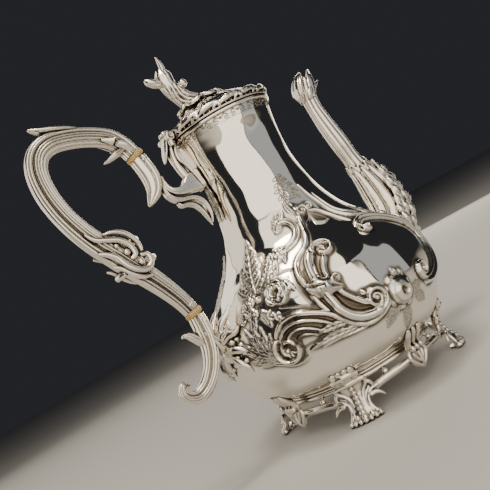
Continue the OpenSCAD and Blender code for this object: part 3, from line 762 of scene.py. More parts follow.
def engraved_line(path, r):
    """A dark cut line on the chased body, along a curve of [theta, z]."""
    p = spline(path, 10)
    points = on_body(p[:, 0], p[:, 1], 0.02)
    outward = points * [1, 1, 0]
    taper = np.sqrt(np.clip(4 * np.linspace(0, 1, len(p)) * (1 - np.linspace(0, 1, len(p))), 0.05, 1))
    return tube(points, r * taper, r * taper * 0.9, 6, across=np.cross(outward, [0, 0, 1]) + [0, 0, 0.1])


def rim_band():
    """A band of small engraved scrolls, dots and leaves under the mouth."""
    shapes = []
    count, z = 18, 198.9
    for k in range(count):
        a = 360 * k / count
        shapes.append(ball(body_point(a, z), (0.95, 0.95, 0.8), 6, 10))
        for s in (-1, 1):
            shapes.append(engraved_line([(a + s * 2, z), (a + s * 4.5, z + 1.2), (a + s * 7, z + 0.6),
                                         (a + s * 9, z - 0.8)], 0.42))
            shapes.append(engraved_line([(a + s * 3, z - 1.6), (a + s * 5.5, z - 0.6),
                                         (a + s * 8, z - 1.4)], 0.36))
            for j in range(3):
                shapes.append(ball(body_point(a + s * (5 + 1.6 * j), z - 2.1), 0.4, 4, 6))
    for edge in (z + 2.0, z - 2.9):
        loop = [(a, edge) for a in range(-180, 181, 4)]
        shapes.append(engraved_line(loop, 0.13))
    return joined(shapes)


def sprig(path, leaves, size):
    """An engraved stem with small outlined leaves on both sides."""
    shapes = [engraved_line(path, 0.3)]
    p = spline(path, 10)
    for k in range(leaves):
        i = int((k + 0.5) / leaves * (len(p) - 2))
        (t0, z0), (t1, z1) = p[i], p[i + 1]
        step = np.array([(t1 - t0) * 0.6, z1 - z0])
        step /= np.hypot(*step)
        for s in (-1, 1):
            out = np.array([step[0] - s * step[1], step[1] + s * step[0]])
            for bend in (0.3, -0.1):
                a = (t0 + (out[0] * 0.5 - bend * out[1]) * size * 1.5,
                     z0 + (out[1] * 0.5 + bend * out[0]) * size)
                b = (t0 + out[0] * size * 1.5, z0 + out[1] * size)
                shapes.append(engraved_line([(t0, z0), a, b], 0.32))
    return shapes


def side_engraving():
    """Sprigs and a feathered fan on both sides of the body."""
    shapes = []
    for s in (-1, 1):
        for path, leaves, size in (
            ([(-99, 151), (-103, 145), (-107, 139), (-104, 133)], 5, 3.4),
            ([(-99, 151), (-95, 146), (-92, 139), (-95, 133)], 5, 3.0),
            ([(-60, 112), (-50, 106), (-40, 99)], 4, 2.6),
        ):
            shapes += sprig([(s * -theta, z) for theta, z in path], leaves, size)
        fan = np.linspace(-1, 1, 9)
        for f in fan:
            tip = (s * (95.5 - 9 * f), 112 + 2.5 * abs(f) - 1.5 * f)
            shapes.append(engraved_line([(s * 97, 121.5), (s * (96.3 - 4 * f), 117.5), tip], 0.24))
    return joined(shapes)


placed("rim_engraving", mesh_of("rim_engraving", rim_band()), ENGRAVED, "pot", "polished_silver")
placed("side_engraving", mesh_of("side_engraving", side_engraving()), ENGRAVED, "pot", "polished_silver")


# ---- cast work: shared forms ----


def groove(phi, at, width):
    """1 in the middle of a lengthwise groove at the angle phi = at, in degrees."""
    gap = (np.degrees(phi) - at + 180) % 360 - 180
    return np.exp(-((gap / width) ** 2))


def both_sides(phi, cuts):
    """A section scaled down by grooves of [degrees, width, depth] on both sides of the bar's middle."""
    scale = 1.0
    for at, width, depth in cuts:
        scale = scale - depth * (groove(phi, at, width) + (groove(phi, -at, width) if at % 180 else 0))
    return scale


def grooved(stations, steps, sides, cuts):
    """A bar in the handle and spout plane, with grooves of [degrees, width, depth] cut along it."""
    return bar(in_plane(stations), steps, sides, section=lambda t, phi: both_sides(phi, cuts))


def blade(stations, thick, cup, lobes, depth, veins, across, steps):
    """A thin leaf along stations of [x, y, z, half width]: cupped, lobed at its edges and ribbed on top."""
    s = spline(stations, steps)
    path, half = s[:, :3], np.maximum(s[:, 3], 0.15)
    t = np.linspace(0, 1, len(s))
    half = half * (1 - depth * (0.5 + 0.5 * np.cos(2 * math.pi * lobes * t)))
    side, up = frame_along(path, across)
    v = np.linspace(-1, 1, 15)
    lift = -cup * v**2 + 0.35 * (np.exp(-((v / 0.16) ** 2)) - 0.5) / np.maximum(half[:, None], 1)
    lift = lift + 0.12 * np.cos(2 * math.pi * (veins * t[:, None] - 0.35 * veins * np.abs(v)))
    top = path[:, None] + side[:, None] * (half[:, None] * v)[..., None]
    top = top + up[:, None] * (lift * half[:, None])[..., None]
    under = top[:, ::-1] - up[:, None] * (thick * (1 - 0.7 * v[::-1] ** 2))[:, None]
    rings = np.concatenate([top, under], axis=1)
    n, sides = rings.shape[:2]
    points = np.vstack([rings.reshape(-1, 3), rings[:1].mean(1), rings[-1:].mean(1)])
    return points, closed_faces(n, sides, flip=True)


def grown(mesh, degrees):
    """A copy of a mesh turned round the pot's axis."""
    copy = mesh.copy()
    axis = Matrix.Translation((AXIS_X * MM, 0, 0))
    copy.transform(axis @ Matrix.Rotation(math.radians(degrees), 4, "Z") @ axis.inverted())
    return copy


# ---- foot gallery ----

FOOT_ANGLES = (45, 135, 225, 315)
PENDANT_ANGLES = (0, 90, 180, 270)


def foot_shapes():
    """One foot facing along +X, at its true distance from the axis: [out, along the ring, up]."""
    core = [(64.6, 0, 32, 1.6, 6), (62, 0, 28.6, 2.4, 7.4), (58.4, 0, 22.6, 2.6, 8.2),
            (57.4, 0, 16.4, 2.2, 6.4), (60.2, 0, 10.4, 1.9, 5.2), (63, 0, 6.4, 1.8, 6),
            (63.4, 0, 3.4, 1.9, 7.4), (61.8, 0, 1.6, 1.6, 7.4)]
    shapes = [bar(core, 6, 20)]
    for y in (-5.6, -1.9, 1.9, 5.6):
        shapes.append(bar([(58.4, y * 0.9, 23.5, 2, 2), (61.2, y, 27, 2.4, 2.3), (63.8, y, 30, 2.4, 2.3),
                           (65.4, y, 32.4, 1.9, 2.0), (65.8, y, 33.4, 0.9, 1)], 6, 16))
    shapes.append(bar([(62.4, -8.2, 27.4, 2, 1.6), (64.2, -4, 28.6, 2.4, 1.9), (64.8, 0, 28.8, 2.6, 2.0),
                       (64.2, 4, 28.6, 2.4, 1.9), (62.4, 8.2, 27.4, 2, 1.6)], 6, 14, (0, 0, 1)))
    shapes.append(bar([(59.6, -9.6, 22.6, 1.3, 1.3), (60.4, -5, 23.2, 1.7, 1.6), (60.8, 0, 23, 1.9, 1.8),
                       (60.4, 5, 23.2, 1.7, 1.6), (59.6, 9.6, 22.6, 1.3, 1.3)], 6, 14, (1, 0, 0)))
    for s in (-1, 1):
        outer = [(63.6, 9.2 * s, 1.8, 1.6, 1.5), (62.8, 7.4 * s, 4.4, 1.3, 1.4),
                 (61.4, 5.9 * s, 8, 1.2, 1.3), (59.6, 6.6 * s, 11.6, 1.2, 1.3),
                 (57.8, 9.6 * s, 14.2, 1.3, 1.5), (55.6, 14 * s, 14.6, 1.4, 1.6)]
        inner = [(65.2, 5.2 * s, 1.9, 1.5, 1.3), (64.2, 4.4 * s, 4.6, 1.2, 1.1), (62, 3.6 * s, 8.6, 1, 1),
                 (59.8, 3.8 * s, 12.6, 1, 1), (58.6, 5.8 * s, 16.6, 1.1, 1.1),
                 (58.4, 8.6 * s, 19.4, 1.2, 1.2), (58.6, 9.8 * s, 22.4, 1.2, 1.3)]
        middle = [(63.4, 7 * s, 2.6, 0.8, 0.8), (61.6, 4.9 * s, 8, 0.7, 0.7), (59.2, 5.6 * s, 13, 0.7, 0.8),
                  (57.4, 9.4 * s, 16.6, 0.8, 0.9)]
        spur = [(60.4, 8 * s, 12, 1.3, 1.2), (60, 11.6 * s, 12.2, 1.3, 1.2), (59.6, 14.4 * s, 10.6, 1, 1),
                (59.3, 16 * s, 8.2, 0.4, 0.4)]
        ear = [(58.4, 8.4 * s, 20.4, 1.2, 1.2), (58.2, 11 * s, 18.6, 1.1, 1.1),
               (57.6, 11.6 * s, 16, 0.9, 0.9), (57.2, 10 * s, 15.2, 0.5, 0.5)]
        for line in (outer, inner, middle, spur, ear):
            shapes.append(bar(line, 7, 14, (1, 0, 0)))
        for y, x in ((3.4, 66), (6.6, 65.2), (9.4, 63.8)):
            shapes.append(ball((x, y * s, 1.7), (2.2, 1.5, 2.1)))
    for k in range(7):
        z = 3.2 + 2.75 * k
        x = np.interp(z, [0, 6.4, 10.4, 16.4, 22.6], [65.6, 64.8, 62.2, 59.8, 61])
        r = 2.0 - 0.1 * k
        shapes.append(ball((x, 0, z), (r * 0.95, r * 1.05, r)))
    shapes.append(ball((66.2, 0, 1.7), (2.2, 1.8, 2.1)))
    shapes.append(lathe_at((62, 0), [(0.01, 0), (4.4, 0), (4.4, 1.3), (0.01, 1.3)]))
    return shapes


def pendant_shapes():
    """One shield-shaped drop between the feet, facing along +X."""
    shapes = [ball((57.4, 0, 15.4), (2.2, 7.2, 7.2))]
    for y in (-4.2, 0, 4.2):
        shapes.append(bar([(57.6, y, 20.5, 1.6, 1.7), (60.2, y, 25.4, 2.1, 2), (63.8, y * 1.05, 29.6, 2.1, 2),
                           (65.8, y * 1.05, 32, 1.4, 1.5), (66.4, y * 1.05, 33, 0.6, 0.7)], 6, 14))
    for y in (-3.6, 0, 3.6):
        shapes.append(ball((60.8, y, 20.8), (2, 1.8, 2)))
    for s in (-1, 1):
        edge = [(58.2, 0, 8, 1.1, 1), (58.6, 3.4 * s, 11.2, 1.2, 1.1), (58.6, 6.6 * s, 15.2, 1.3, 1.2),
                (58.4, 6.2 * s, 18.4, 1.3, 1.2), (58.2, 3.8 * s, 20, 1.1, 1)]
        vee = [(59.2, 0, 11.2, 0.9, 0.8), (59.4, 2.2 * s, 14, 0.9, 0.8), (59.2, 3.6 * s, 17.4, 1, 0.9),
               (58.8, 2.4 * s, 19, 0.8, 0.8)]
        tie = [(57.4, 6 * s, 16.4, 1.5, 1.5), (56, 11 * s, 15.7, 1.5, 1.6), (54.4, 15 * s, 15.4, 1.4, 1.5)]
        for line in (edge, vee, tie):
            shapes.append(bar(line, 7, 12, (1, 0, 0)))
    shapes.append(bar([(59.6, 0, 9.2, 0.8, 0.8), (60, 0, 13, 1, 0.9), (59.6, 0, 18, 1, 0.9)], 6, 12))
    return shapes


def rail_shapes():
    """The upper rail: three round mouldings, one over the next, on a thin wall."""
    rails = []
    for r, z, half in ((51.8, 25.4, 1.3), (51.5, 23.2, 0.95), (51.4, 20.9, 1.55)):
        a = np.linspace(0, 2 * math.pi, 20, endpoint=False)
        outline = np.stack([r + half * np.cos(a), z + half * np.sin(a)], -1)
        rails.append(lathe(outline, 180))
    rails.append(lathe([(50.6, 20.5), (51.7, 20.5), (51.7, 25.4), (50.6, 25.4)], 180))
    return joined(rails)


def arch_shapes():
    """The arches of the lower rail, from each foot to its two pendants."""
    shapes = []
    for foot in FOOT_ANGLES:
        for s in (-1, 1):
            line = []
            for a, r, z, half in ((9, 57.4, 12.4, 1.6), (14, 56.2, 13.9, 1.9), (19, 55.9, 14.7, 2.0),
                                  (26, 55.8, 15.1, 2.0), (33, 55.8, 15.3, 2.0), (40, 55.9, 15.4, 1.8)):
                at = math.radians(foot + s * a)
                line.append((r * math.cos(at), r * math.sin(at), z, half, half * 1.15))
            shapes.append(bar(line, 8, 20, (0, 0, 1), lambda t, phi: both_sides(phi, [(150, 12, 0.22)])))
    return joined(shapes)


def bead_shapes():
    """The beads between the two rails, each on its short stem."""
    shapes = []
    for foot in FOOT_ANGLES:
        for s in (-22.5, 22.5):
            one = joined([
                ball((54.6, 0, 17.9), (1.9, 2.1, 2.0), 14, 20),
                ball((55.4, 0, 16.2), (1.2, 2.6, 0.9)),
                bar([(52, 0, 21, 0.9, 0.9), (53.4, 0, 19.4, 0.8, 0.8), (55, 0, 17.6, 0.8, 0.8)], 4, 10),
            ])
            shapes.append(turned(one, foot + s))
    return joined(shapes)


foot_mesh = cast("foot", foot_shapes(), 0.3, 2, floor=0)
for i, angle in enumerate(FOOT_ANGLES, 1):
    placed(f"foot_{i}_cast", grown(foot_mesh, angle), CAST, "pot", "cast_silver", f"foot_{i}")
bpy.data.meshes.remove(foot_mesh)
pendant_mesh = cast("pendant", pendant_shapes(), 0.3, 2)
for i, angle in enumerate(PENDANT_ANGLES, 1):
    placed(f"pendant_{i}_cast", grown(pendant_mesh, angle), CAST, "pot", "cast_silver", f"pendant_{i}")
bpy.data.meshes.remove(pendant_mesh)
show_cast("gallery_rails", rail_shapes(), "gallery_ring")
show_cast("gallery_arches", arch_shapes(), "gallery_scrolls")
show_cast("gallery_pearls", bead_shapes(), "gallery_beads")


# ---- spout ----

SPOUT_STATIONS = [
    (60, 71, 16, 16), (78, 73, 15.6, 15.6), (89, 82, 14.6, 14.6), (95.3, 93.5, 13.4, 13.4),
    (96.4, 104.5, 12.8, 12.8), (95.2, 115, 11.8, 11.8), (92.8, 125, 9.6, 9.6),
    (90, 134.5, 7.8, 7.8), (88.3, 143, 7, 7), (86.2, 157, 7.3, 7.3), (83.7, 173, 6.8, 6.8),
    (82.4, 187, 5.9, 5.9), (83, 197, 6, 6),
]
SPOUT_WALL = 1.1


def spout_frame(stations, steps=8):
    """Points along the spout, its radii, and the direction that faces the pot at each."""
    s = spline(in_plane(stations), steps)
    tangent = tangents(s[:, :3])
    return s, np.cross(tangent, np.broadcast_to([0.0, 1.0, 0.0], tangent.shape))


def pipe(stations, section, wall=SPOUT_WALL, steps=8, sides=64, shift=None):
    """An open pipe in the handle and spout plane, with a section that varies along it."""
    s, up = spout_frame(stations, steps)
    phi = np.linspace(0, 2 * math.pi, sides, endpoint=False)
    t = np.linspace(0, 1, len(s))[:, None]
    shape = section(t, phi[None, :]) * np.ones((len(s), sides))

    def rings(grow, scale):
        u = (s[:, 3:4] + grow) * np.cos(phi) * scale
        v = (s[:, 4:5] + grow) * np.sin(phi) * scale
        out = s[:, None, :3] + up[:, None] * u[..., None] + np.array([0, 1.0, 0]) * v[..., None]
        if shift is not None:
            out = out + shift(t, phi[None, :])
        return out

    outer, inner = rings(0, shape), rings(-wall, 0 * shape + 1)[::-1]
    both = np.concatenate([outer, inner])
    return both.reshape(-1, 3), [grid_faces(len(both), sides, wrap_rows=True)]


def on_spout(t, degrees, out):
    """A point on the spout's skin, t = 0 to 1 along it, and the directions out of it and round it."""
    s, up = spout_frame(SPOUT_STATIONS)
    i = np.clip(np.asarray(t) * (len(s) - 1), 0, len(s) - 1)
    at = np.stack([np.interp(i, np.arange(len(s)), s[:, k]) for k in range(5)], -1)
    u = np.stack([np.interp(i, np.arange(len(s)), up[:, k]) for k in range(3)], -1)
    a = np.radians(degrees)
    away = u * np.cos(a)[..., None] + np.array([0, 1.0, 0]) * np.sin(a)[..., None]
    round_it = -u * np.sin(a)[..., None] + np.array([0, 1.0, 0]) * np.cos(a)[..., None]
    return at[..., :3] + away * (at[..., 3:4] + out), away, round_it, at[..., 3]


def reeds(count, depth, sharp, turn):
    """A section of rounded reeds with narrow dark grooves between them."""
    return lambda t, phi: 1 - depth * (1 - np.abs(np.cos(count / 2 * (phi + turn))) ** sharp)


def lobe_shapes():
    """Long rounded lobes that stand round the lower spout and end in scallops over the tube."""
    shapes = []
    for k in range(9):
        degrees = 40 * k + 20
        first, last = 0.12, 0.60 + 0.022 * math.cos(math.radians(2 * degrees))
        t = np.linspace(first, last, 26)
        centre, _, round_it, r = on_spout(t, np.full(26, float(degrees)), -0.9)
        share = np.linspace(0, 1, 26)
        round_end = np.sqrt(np.clip((1 - share) / 0.16, 0.02, 1))
        start_end = np.sqrt(np.clip(share / 0.1, 0.1, 1))
        half = r * math.sin(math.radians(20)) * 0.86 * round_end * start_end
        shapes.append(tube(centre, 2.5 * np.minimum(round_end, start_end), half, 16, round_it))
        # a thin inner line on each lobe, ending in a small curl
        centre, _, round_it, _ = on_spout(np.linspace(0.3, last - 0.05, 14), np.full(14, degrees), 1.2)
        fade = np.sqrt(np.clip(np.minimum(np.linspace(0, 4, 14), np.linspace(4, 0, 14)), 0.1, 1))
        shapes.append(tube(centre, 0.55 * fade, 0.9 * fade, 8, round_it))
    # a raised edge along the scallops
    for k in range(9):
        a = np.linspace(40 * k, 40 * k + 40, 9)
        t = 0.555 + 0.055 * np.sin(np.radians((a - 40 * k) * 4.5)) ** 0.8 + 0.022 * np.cos(np.radians(2 * a))
        centre, away, _, _ = on_spout(t, a, 0.4)
        shapes.append(tube(centre, 0.9, 0.8, 10, away))
    return shapes


def cluster_shapes():
    """Shells, beads and small leaves heaped on the outer side of the spout's root."""
    shapes = []
    for row, t in enumerate(np.linspace(0.12, 0.46, 7)):
        width, count = 126 - 9 * row, 10 - 2 * row // 3
        for k in range(count):
            across = 2 * k / (count - 1) - 1
            a = 180 + width * across + random.uniform(-4, 4)
            centre, _, _, _ = on_spout(np.array([t + random.uniform(-0.01, 0.01)]), np.array([a]), 2.0)
            r = (4.3 - 1.0 * abs(across)) * random.uniform(0.86, 1.1) * (1 - 0.03 * row)
            shapes.append(ball(centre[0], (r * 0.86, r * 0.86, r * 1.3)))
    for s in (-1, 1):
        for t0, t1, a0, a1, w in ((0.08, 0.3, 110, 72, 4.6), (0.2, 0.44, 96, 84, 3.8),
                                  (0.16, 0.38, 136, 112, 4.4), (0.32, 0.54, 112, 120, 3.6),
                                  (0.38, 0.56, 152, 138, 3.4)):
            t, a = np.linspace(t0, t1, 5), 180 + s * (180 - np.linspace(a0, a1, 5))
            centre, _, round_it, _ = on_spout(t, a, 3.4)
            half = np.array([1.2, w * 0.9, w, w * 0.7, 0.3])
            rows = np.hstack([centre, half[:, None]])
            shapes.append(blade(rows, 1.6, 0.35, 3, 0.3, 5, round_it.mean(0), 6))
    return shapes


def root_scrolls():
    """Scrolls that spread from the spout's root over the belly, on both sides."""
    shapes = []
    lines = [[(-33, 97, 1), (-25, 100, 1.8), (-17, 96, 2.3), (-12.5, 87, 2.4), (-12, 76, 2.2),
              (-14, 66, 2.0), (-12, 58, 1.6)], [(-40, 91, 0.8), (-30, 93, 1.4), (-22, 89, 1.7),
                                                (-18, 80, 1.7), (-18, 71, 1.5), (-21, 64, 1.0)],
             [(-12, 60, 1.2), (-17, 53, 1.7), (-11, 48, 1.9), (-4, 50, 1.6), (0, 53, 1.4)],
             [(-20, 100, 1.0), (-13, 104, 1.6), (-7, 103, 1.9), (0, 101, 2.2)]]
    for line in lines:
        s = spline(line, 10)
        path = on_body(s[:, 0], s[:, 1], 0.5)
        shapes.append(tube(path, s[:, 2] * 0.9, s[:, 2], 14, path * [1, 1, 0.0] + [0, 0, 0.01]))
    for theta, z, r in ((-34, 96, 2.8), (-21, 62.5, 2.8), (-13, 57, 2.6), (-18.5, 99, 2.4)):
        shapes.append(ball(body_point(theta, z, 0.6), r))
    leaves = [((-14, 92), (-28, 84), 4.2), ((-14, 84), (-27, 74), 4.4), ((-13, 76), (-25, 64), 4.4),
              ((-10, 66), (-18, 50), 4.4), ((-5, 60), (-8, 43), 4.6), ((-10, 100), (-19, 110), 3.6),
              ((-4, 102), (-7, 113), 3.4)]
    for (t0, z0), (t1, z1), w in leaves:
        tm, zm = (t0 + t1) / 2, (z0 + z1) / 2
        theta = np.array([t0, (t0 + tm) / 2, tm, (tm + t1) / 2, t1])
        z = np.array([z0, (z0 + zm) / 2, zm, (zm + z1) / 2, z1])
        skin = on_body(theta, z)
        rise = np.array([[1.6, 2.6, 2.4, 1.6, 0.6]]).T
        path = skin + (on_body(theta, z, 1.0) - skin) * rise
        flat = np.cross(path[-1] - path[0], path[2] * [1, 1, 0])
        half = np.array([[1.4, w * 0.9, w, w * 0.75, 0.3]]).T
        shapes.append(blade(np.hstack([path, half]), 1.6, 0.3, 3, 0.35, 5, flat, 6))
    return mirrored(joined(shapes))


base_stations, tube_stations = SPOUT_STATIONS[:8], SPOUT_STATIONS[7:]
base_skin = pipe(base_stations, lambda t, phi: 0.94 + 0 * phi)
lobes = cast("spout_lobes", lobe_shapes() + cluster_shapes(), 0.35, 2)
show_cast("spout_base_skin", base_skin, "spout_base")
placed("spout_lobes", lobes, CAST, "pot", "cast_silver", "spout_base")
placed("spout_root", cast("spout_root", [root_scrolls()], 0.35, 2), CAST, "pot", "cast_silver", "spout_base")
fluted = pipe(tube_stations, reeds(8, 0.17, 0.55, math.pi / 8), sides=120)
show_cast("spout_reeded", fluted, "spout_tube")


def lip_shift(t, phi):
    """Draws the mouth's edge up at the front and back into leaf tips and down between them."""
    near = np.clip((t - 0.55) / 0.45, 0, 1) ** 1.5
    rise = near * (1.2 * np.abs(np.cos(phi)) ** 3 - 2.2 * np.abs(np.sin(phi)) ** 2)
    return np.stack([0 * rise, 0 * rise, rise], -1)


def mouth_shapes():
    """The pouring mouth: a pipe under a smooth oval hood on the pot's side, with a pointed lip outwards."""
    line = [(82.8, 195, 6.1, 6.1), (83, 199, 6, 6), (84.2, 203.4, 5.9, 5.7), (86.6, 207.4, 5.6, 5.4),
            (89, 210.6, 5.4, 5.0)]
    shapes = [pipe(line, reeds(8, 0.1, 0.7, math.pi / 8), 1.0, 8, 96, lip_shift)]
    hood = [(77.6, 194.6, 0.6, 1.4), (75.6, 198.2, 1.9, 4.4), (75.8, 202.6, 2.8, 6.0), (78, 207.4, 3.0, 6.4),
            (81.4, 211.8, 2.7, 5.6), (84.6, 215, 1.8, 3.6), (87, 216.8, 0.4, 0.8)]
    shapes.append(grooved(hood, 10, 48, [(0, 16, 0.16), (66, 8, 0.12)]))
    lip = [(88.2, 196, 0.8, 2.4), (90, 201, 1.7, 4.6), (91.6, 206.4, 2.0, 5.0), (93.6, 211.6, 1.6, 3.8),
           (96, 217.4, 0.5, 1.0)]
    shapes.append(grooved(lip, 10, 40, [(104, 12, 0.18)]))
    shapes.append(bar(in_plane([(90.4, 200.4, 1.1, 2.4), (93.6, 203, 1.3, 2.6), (97.2, 205.4, 0.9, 1.8),
                                (99.8, 206.4, 0.3, 0.6)]), 8))
    for s in (-1, 1):
        shapes.append(bar([(83.4, 5.2 * s, 194.6, 1.0, 1.4), (84.6, 6.0 * s, 200, 1.2, 2.8),
                           (87.4, 5.6 * s, 206, 1.2, 2.8), (90.4, 4.4 * s, 211, 1.0, 1.8),
                           (92, 3.2 * s, 214.2, 0.4, 0.6)], 8, 20, (1, 0, -0.4)))
        shapes.append(bar([(79.6, 5.0 * s, 194.4, 0.9, 1.6), (80.8, 6.2 * s, 197.6, 1.1, 2.3),
                           (83, 6.6 * s, 200.6, 0.9, 1.7), (84.8, 6.6 * s, 203.2, 0.3, 0.4)], 8, 16,
                          (1, 0, -0.4)))
    return joined(shapes)


show_cast("spout_leafed_mouth", mouth_shapes(), "spout_mouth")


# ---- handle ----

UPPER_AT, UPPER_LEAN = (-67, 204.5), 25
LOWER_AT, LOWER_LEAN = (-85.1, 102.6), 12
SLICE = 4


def along(at, lean, d):
    """The point [x, z] at distance d from at, up the line of the handle."""
    return at[0] - d * math.sin(math.radians(lean)), at[1] + d * math.cos(math.radians(lean))


GRIP_TOP, GRIP_END = along(UPPER_AT, UPPER_LEAN, SLICE / 2), along(LOWER_AT, LOWER_LEAN, SLICE / 2)
GRIP_STATIONS = [
    (*GRIP_TOP, 6.1, 5.1), (-70.9, 213.5, 6.3, 5.4), (-77, 221, 6.4, 5.6), (-87.5, 226.2, 6.4, 5.8),
    (-100, 229.6, 6.5, 6), (-112, 230.4, 6.6, 6), (-121.4, 226.2, 6.6, 6), (-126.8, 217.4, 6.6, 6),
    (-128.4, 205, 6.7, 6.1), (-126.9, 191.5, 6.8, 6.2), (-122.8, 178, 7, 6.4), (-116.8, 165, 7.4, 6.6),
    (-109.6, 152.6, 7.6, 6.8), (-101.8, 139.4, 7.2, 6.3), (-94.4, 126.4, 6.5, 5.8), (-88.6, 114, 5.8, 5.2),
    (*GRIP_END, 5.5, 4.7),
]
GRIP_CUTS = [(138, 5, 0.2), (113, 9, 0.36), (92, 4, 0.17), (76, 4, 0.15), (50, 10, 0.24), (20, 8, 0.16)]


def knot_shapes():
    """The bold openwork knot of scrolls half way down the grip, as wide as the grip itself."""
    shapes = []
    for line in ([(-122.5, 172, 0.8), (-118.6, 166.6, 1.7), (-112.6, 163.6, 2.2), (-106.4, 160.6, 2.4),
                  (-102.2, 155.4, 2.5), (-101.8, 149.4, 2.2), (-105.4, 147.6, 1.5)],
                 [(-121, 158.4, 0.9), (-116.4, 155.8, 1.9), (-112.2, 151.4, 2.3), (-109.6, 145.4, 2.5),
                  (-105.6, 140.8, 2.6), (-99.6, 138.4, 2.5), (-95, 141.2, 2.2), (-95, 146.4, 1.9),
                  (-99.2, 147.4, 1.3)], [(-113, 167.4, 0.8), (-106.4, 166.4, 1.6), (-99.8, 161.6, 1.9),
                                         (-96.6, 154.6, 1.7), (-96.8, 149.4, 1.0)],
                 [(-117.6, 148.4, 0.7), (-113.6, 145.4, 1.5), (-109.4, 139.8, 1.8), (-104, 135.4, 1.7),
                  (-98.6, 133.8, 0.8)]):
        s = spline([(x, 6.4 - 0.04 * abs(x + 106), z, r) for x, z, r in line], 8)
        shapes.append(tube(s[:, :3], s[:, 3] * 0.85, s[:, 3], 14))
    shapes.append(ball((-100.6, 7.2, 143.6), (1.8, 1.4, 1.8)))
    shapes.append(ball((-105.6, 7.0, 152.4), (2.0, 1.4, 2.0)))
    shapes.append(ball((-109.6, 6.8, 158.2), (1.5, 1.2, 1.5)))
    side = mirrored(joined(shapes))
    wraps = []
    for x, z, r in ((-94.2, 143.5, 2.3), (-98.4, 157.6, 2.2), (-112.6, 141.6, 1.8)):
        lean = 3.0 if x > -110 else -2.6
        wraps.append(bar([(x, -6.4, z, r * 0.8, r * 0.8), (x + lean * 0.8, -3.4, z, r, r),
                          (x + lean, 0, z, r, r), (x + lean * 0.8, 3.4, z, r, r),
                          (x, 6.4, z, r * 0.8, r * 0.8)], 6, 14, (0, 0, 1)))
    return joined([side, *wraps])


def grip_shapes():
    """The grooved grip with its thumb leaf on top, inner spur, leaf tongues and knot."""
    shapes = [grooved(GRIP_STATIONS, 12, 128, GRIP_CUTS)]
    thumb = [(-90, 231.6, 1.4, 2.2), (-97, 234.8, 2.2, 4.6), (-104.4, 236.8, 2.2, 5.6),
             (-111, 238.6, 1.9, 5.0), (-116.4, 240.8, 1.3, 3.2), (-119.4, 242.6, 0.5, 1.2)]
    shapes.append(grooved(thumb, 8, 40, [(180, 12, 0.18), (140, 10, 0.12)]))
    spur = [(-70.4, 211.6, 2.4, 4.4), (-74.6, 210.8, 2.4, 5.0), (-78.8, 209.6, 2.0, 5.2),
            (-82.6, 208.4, 1.4, 4.6), (-85.6, 207.8, 0.7, 3.2), (-87, 207.8, 0.4, 2.0)]
    shapes.append(grooved(spur, 8, 32, [(180, 14, 0.24), (90, 12, 0.14)]))
    tip = [(-66, 209.4, 1.2, 3.4), (-67.8, 214.4, 1.9, 3.6), (-71.4, 219.6, 2.0, 3.2),
           (-75.4, 224.4, 1.4, 2.4), (-78, 228, 0.6, 1.0)]
    shapes.append(bar(in_plane(tip), 8, 24))
    # converging leaf tongues above the upper insulator
    for y in (-4.2, 4.2):
        tongue = [(-69, y, 207.4, 0.9, 1.4), (-71.6, y * 1.25, 211.8, 1.1, 2.6),
                  (-76.8, y * 1.3, 216.6, 1.1, 2.6), (-83.6, y * 1.2, 220.4, 0.4, 0.7)]
        shapes.append(bar(tongue, 8, 20, (0.8, 0, -0.6)))
    shapes.append(knot_shapes())
    return joined(shapes)


show_cast("handle_grip_reeded", grip_shapes(), "handle_grip")


def slice_shape(at, lean, half):
    """A lobed ivory slice with rounded edges, proud of the silver on each side of it."""
    low, high = along(at, lean, -SLICE / 2), along(at, lean, SLICE / 2)
    line = []
    for share, grow in ((0, 0.88), (0.08, 0.99), (0.3, 1.07), (0.5, 1.09), (0.7, 1.07), (0.92, 0.99),
                        (1, 0.88)):
        x, z = low[0] + share * (high[0] - low[0]), low[1] + share * (high[1] - low[1])
        line.append((x, 0, z, half[0] * grow, half[1] * grow))
    return bar(line, 4, 96, section=lambda t, phi: 1 - 0.1 * (1 - np.abs(np.cos(4 * phi)) ** 0.5))


def pin_heads(at, lean, half_width):
    """The four pin heads round one insulator."""
    shapes = []
    for d in (-5.2, 5.2):
        x, z = along(at, lean, d)
        for s in (-1, 1):
            shapes.append(ball((x, s * half_width, z), (1.0, 0.5, 1.0), 8, 20))
    return joined(shapes)


for end, at, lean, half in (
    ("upper", UPPER_AT, UPPER_LEAN, (6.2, 5.2)),
    ("lower", LOWER_AT, LOWER_LEAN, (5.6, 4.8)),
):
    name = end + "_ivory"
    placed(name, mesh_of(name, slice_shape(at, lean, half)), IVORY, "pot", "ivory", end + "_insulator")
for end, at, lean, half in (("upper", UPPER_AT, UPPER_LEAN, 4.7), ("lower", LOWER_AT, LOWER_LEAN, 4.4)):
    name = end + "_pin_heads"
    placed(name, mesh_of(name, pin_heads(at, lean, half)), PLAIN, "pot", "plain_silver", end + "_pins")


def squared(phi):
    """A section between an ellipse and a rectangle, with flat sides."""
    return (np.abs(np.cos(phi)) ** 4.0 + np.abs(np.sin(phi)) ** 4.0) ** (-1 / 4.0)


# [x, z] of the hinge pin
HINGE_AT = (-41.5, 206.8)


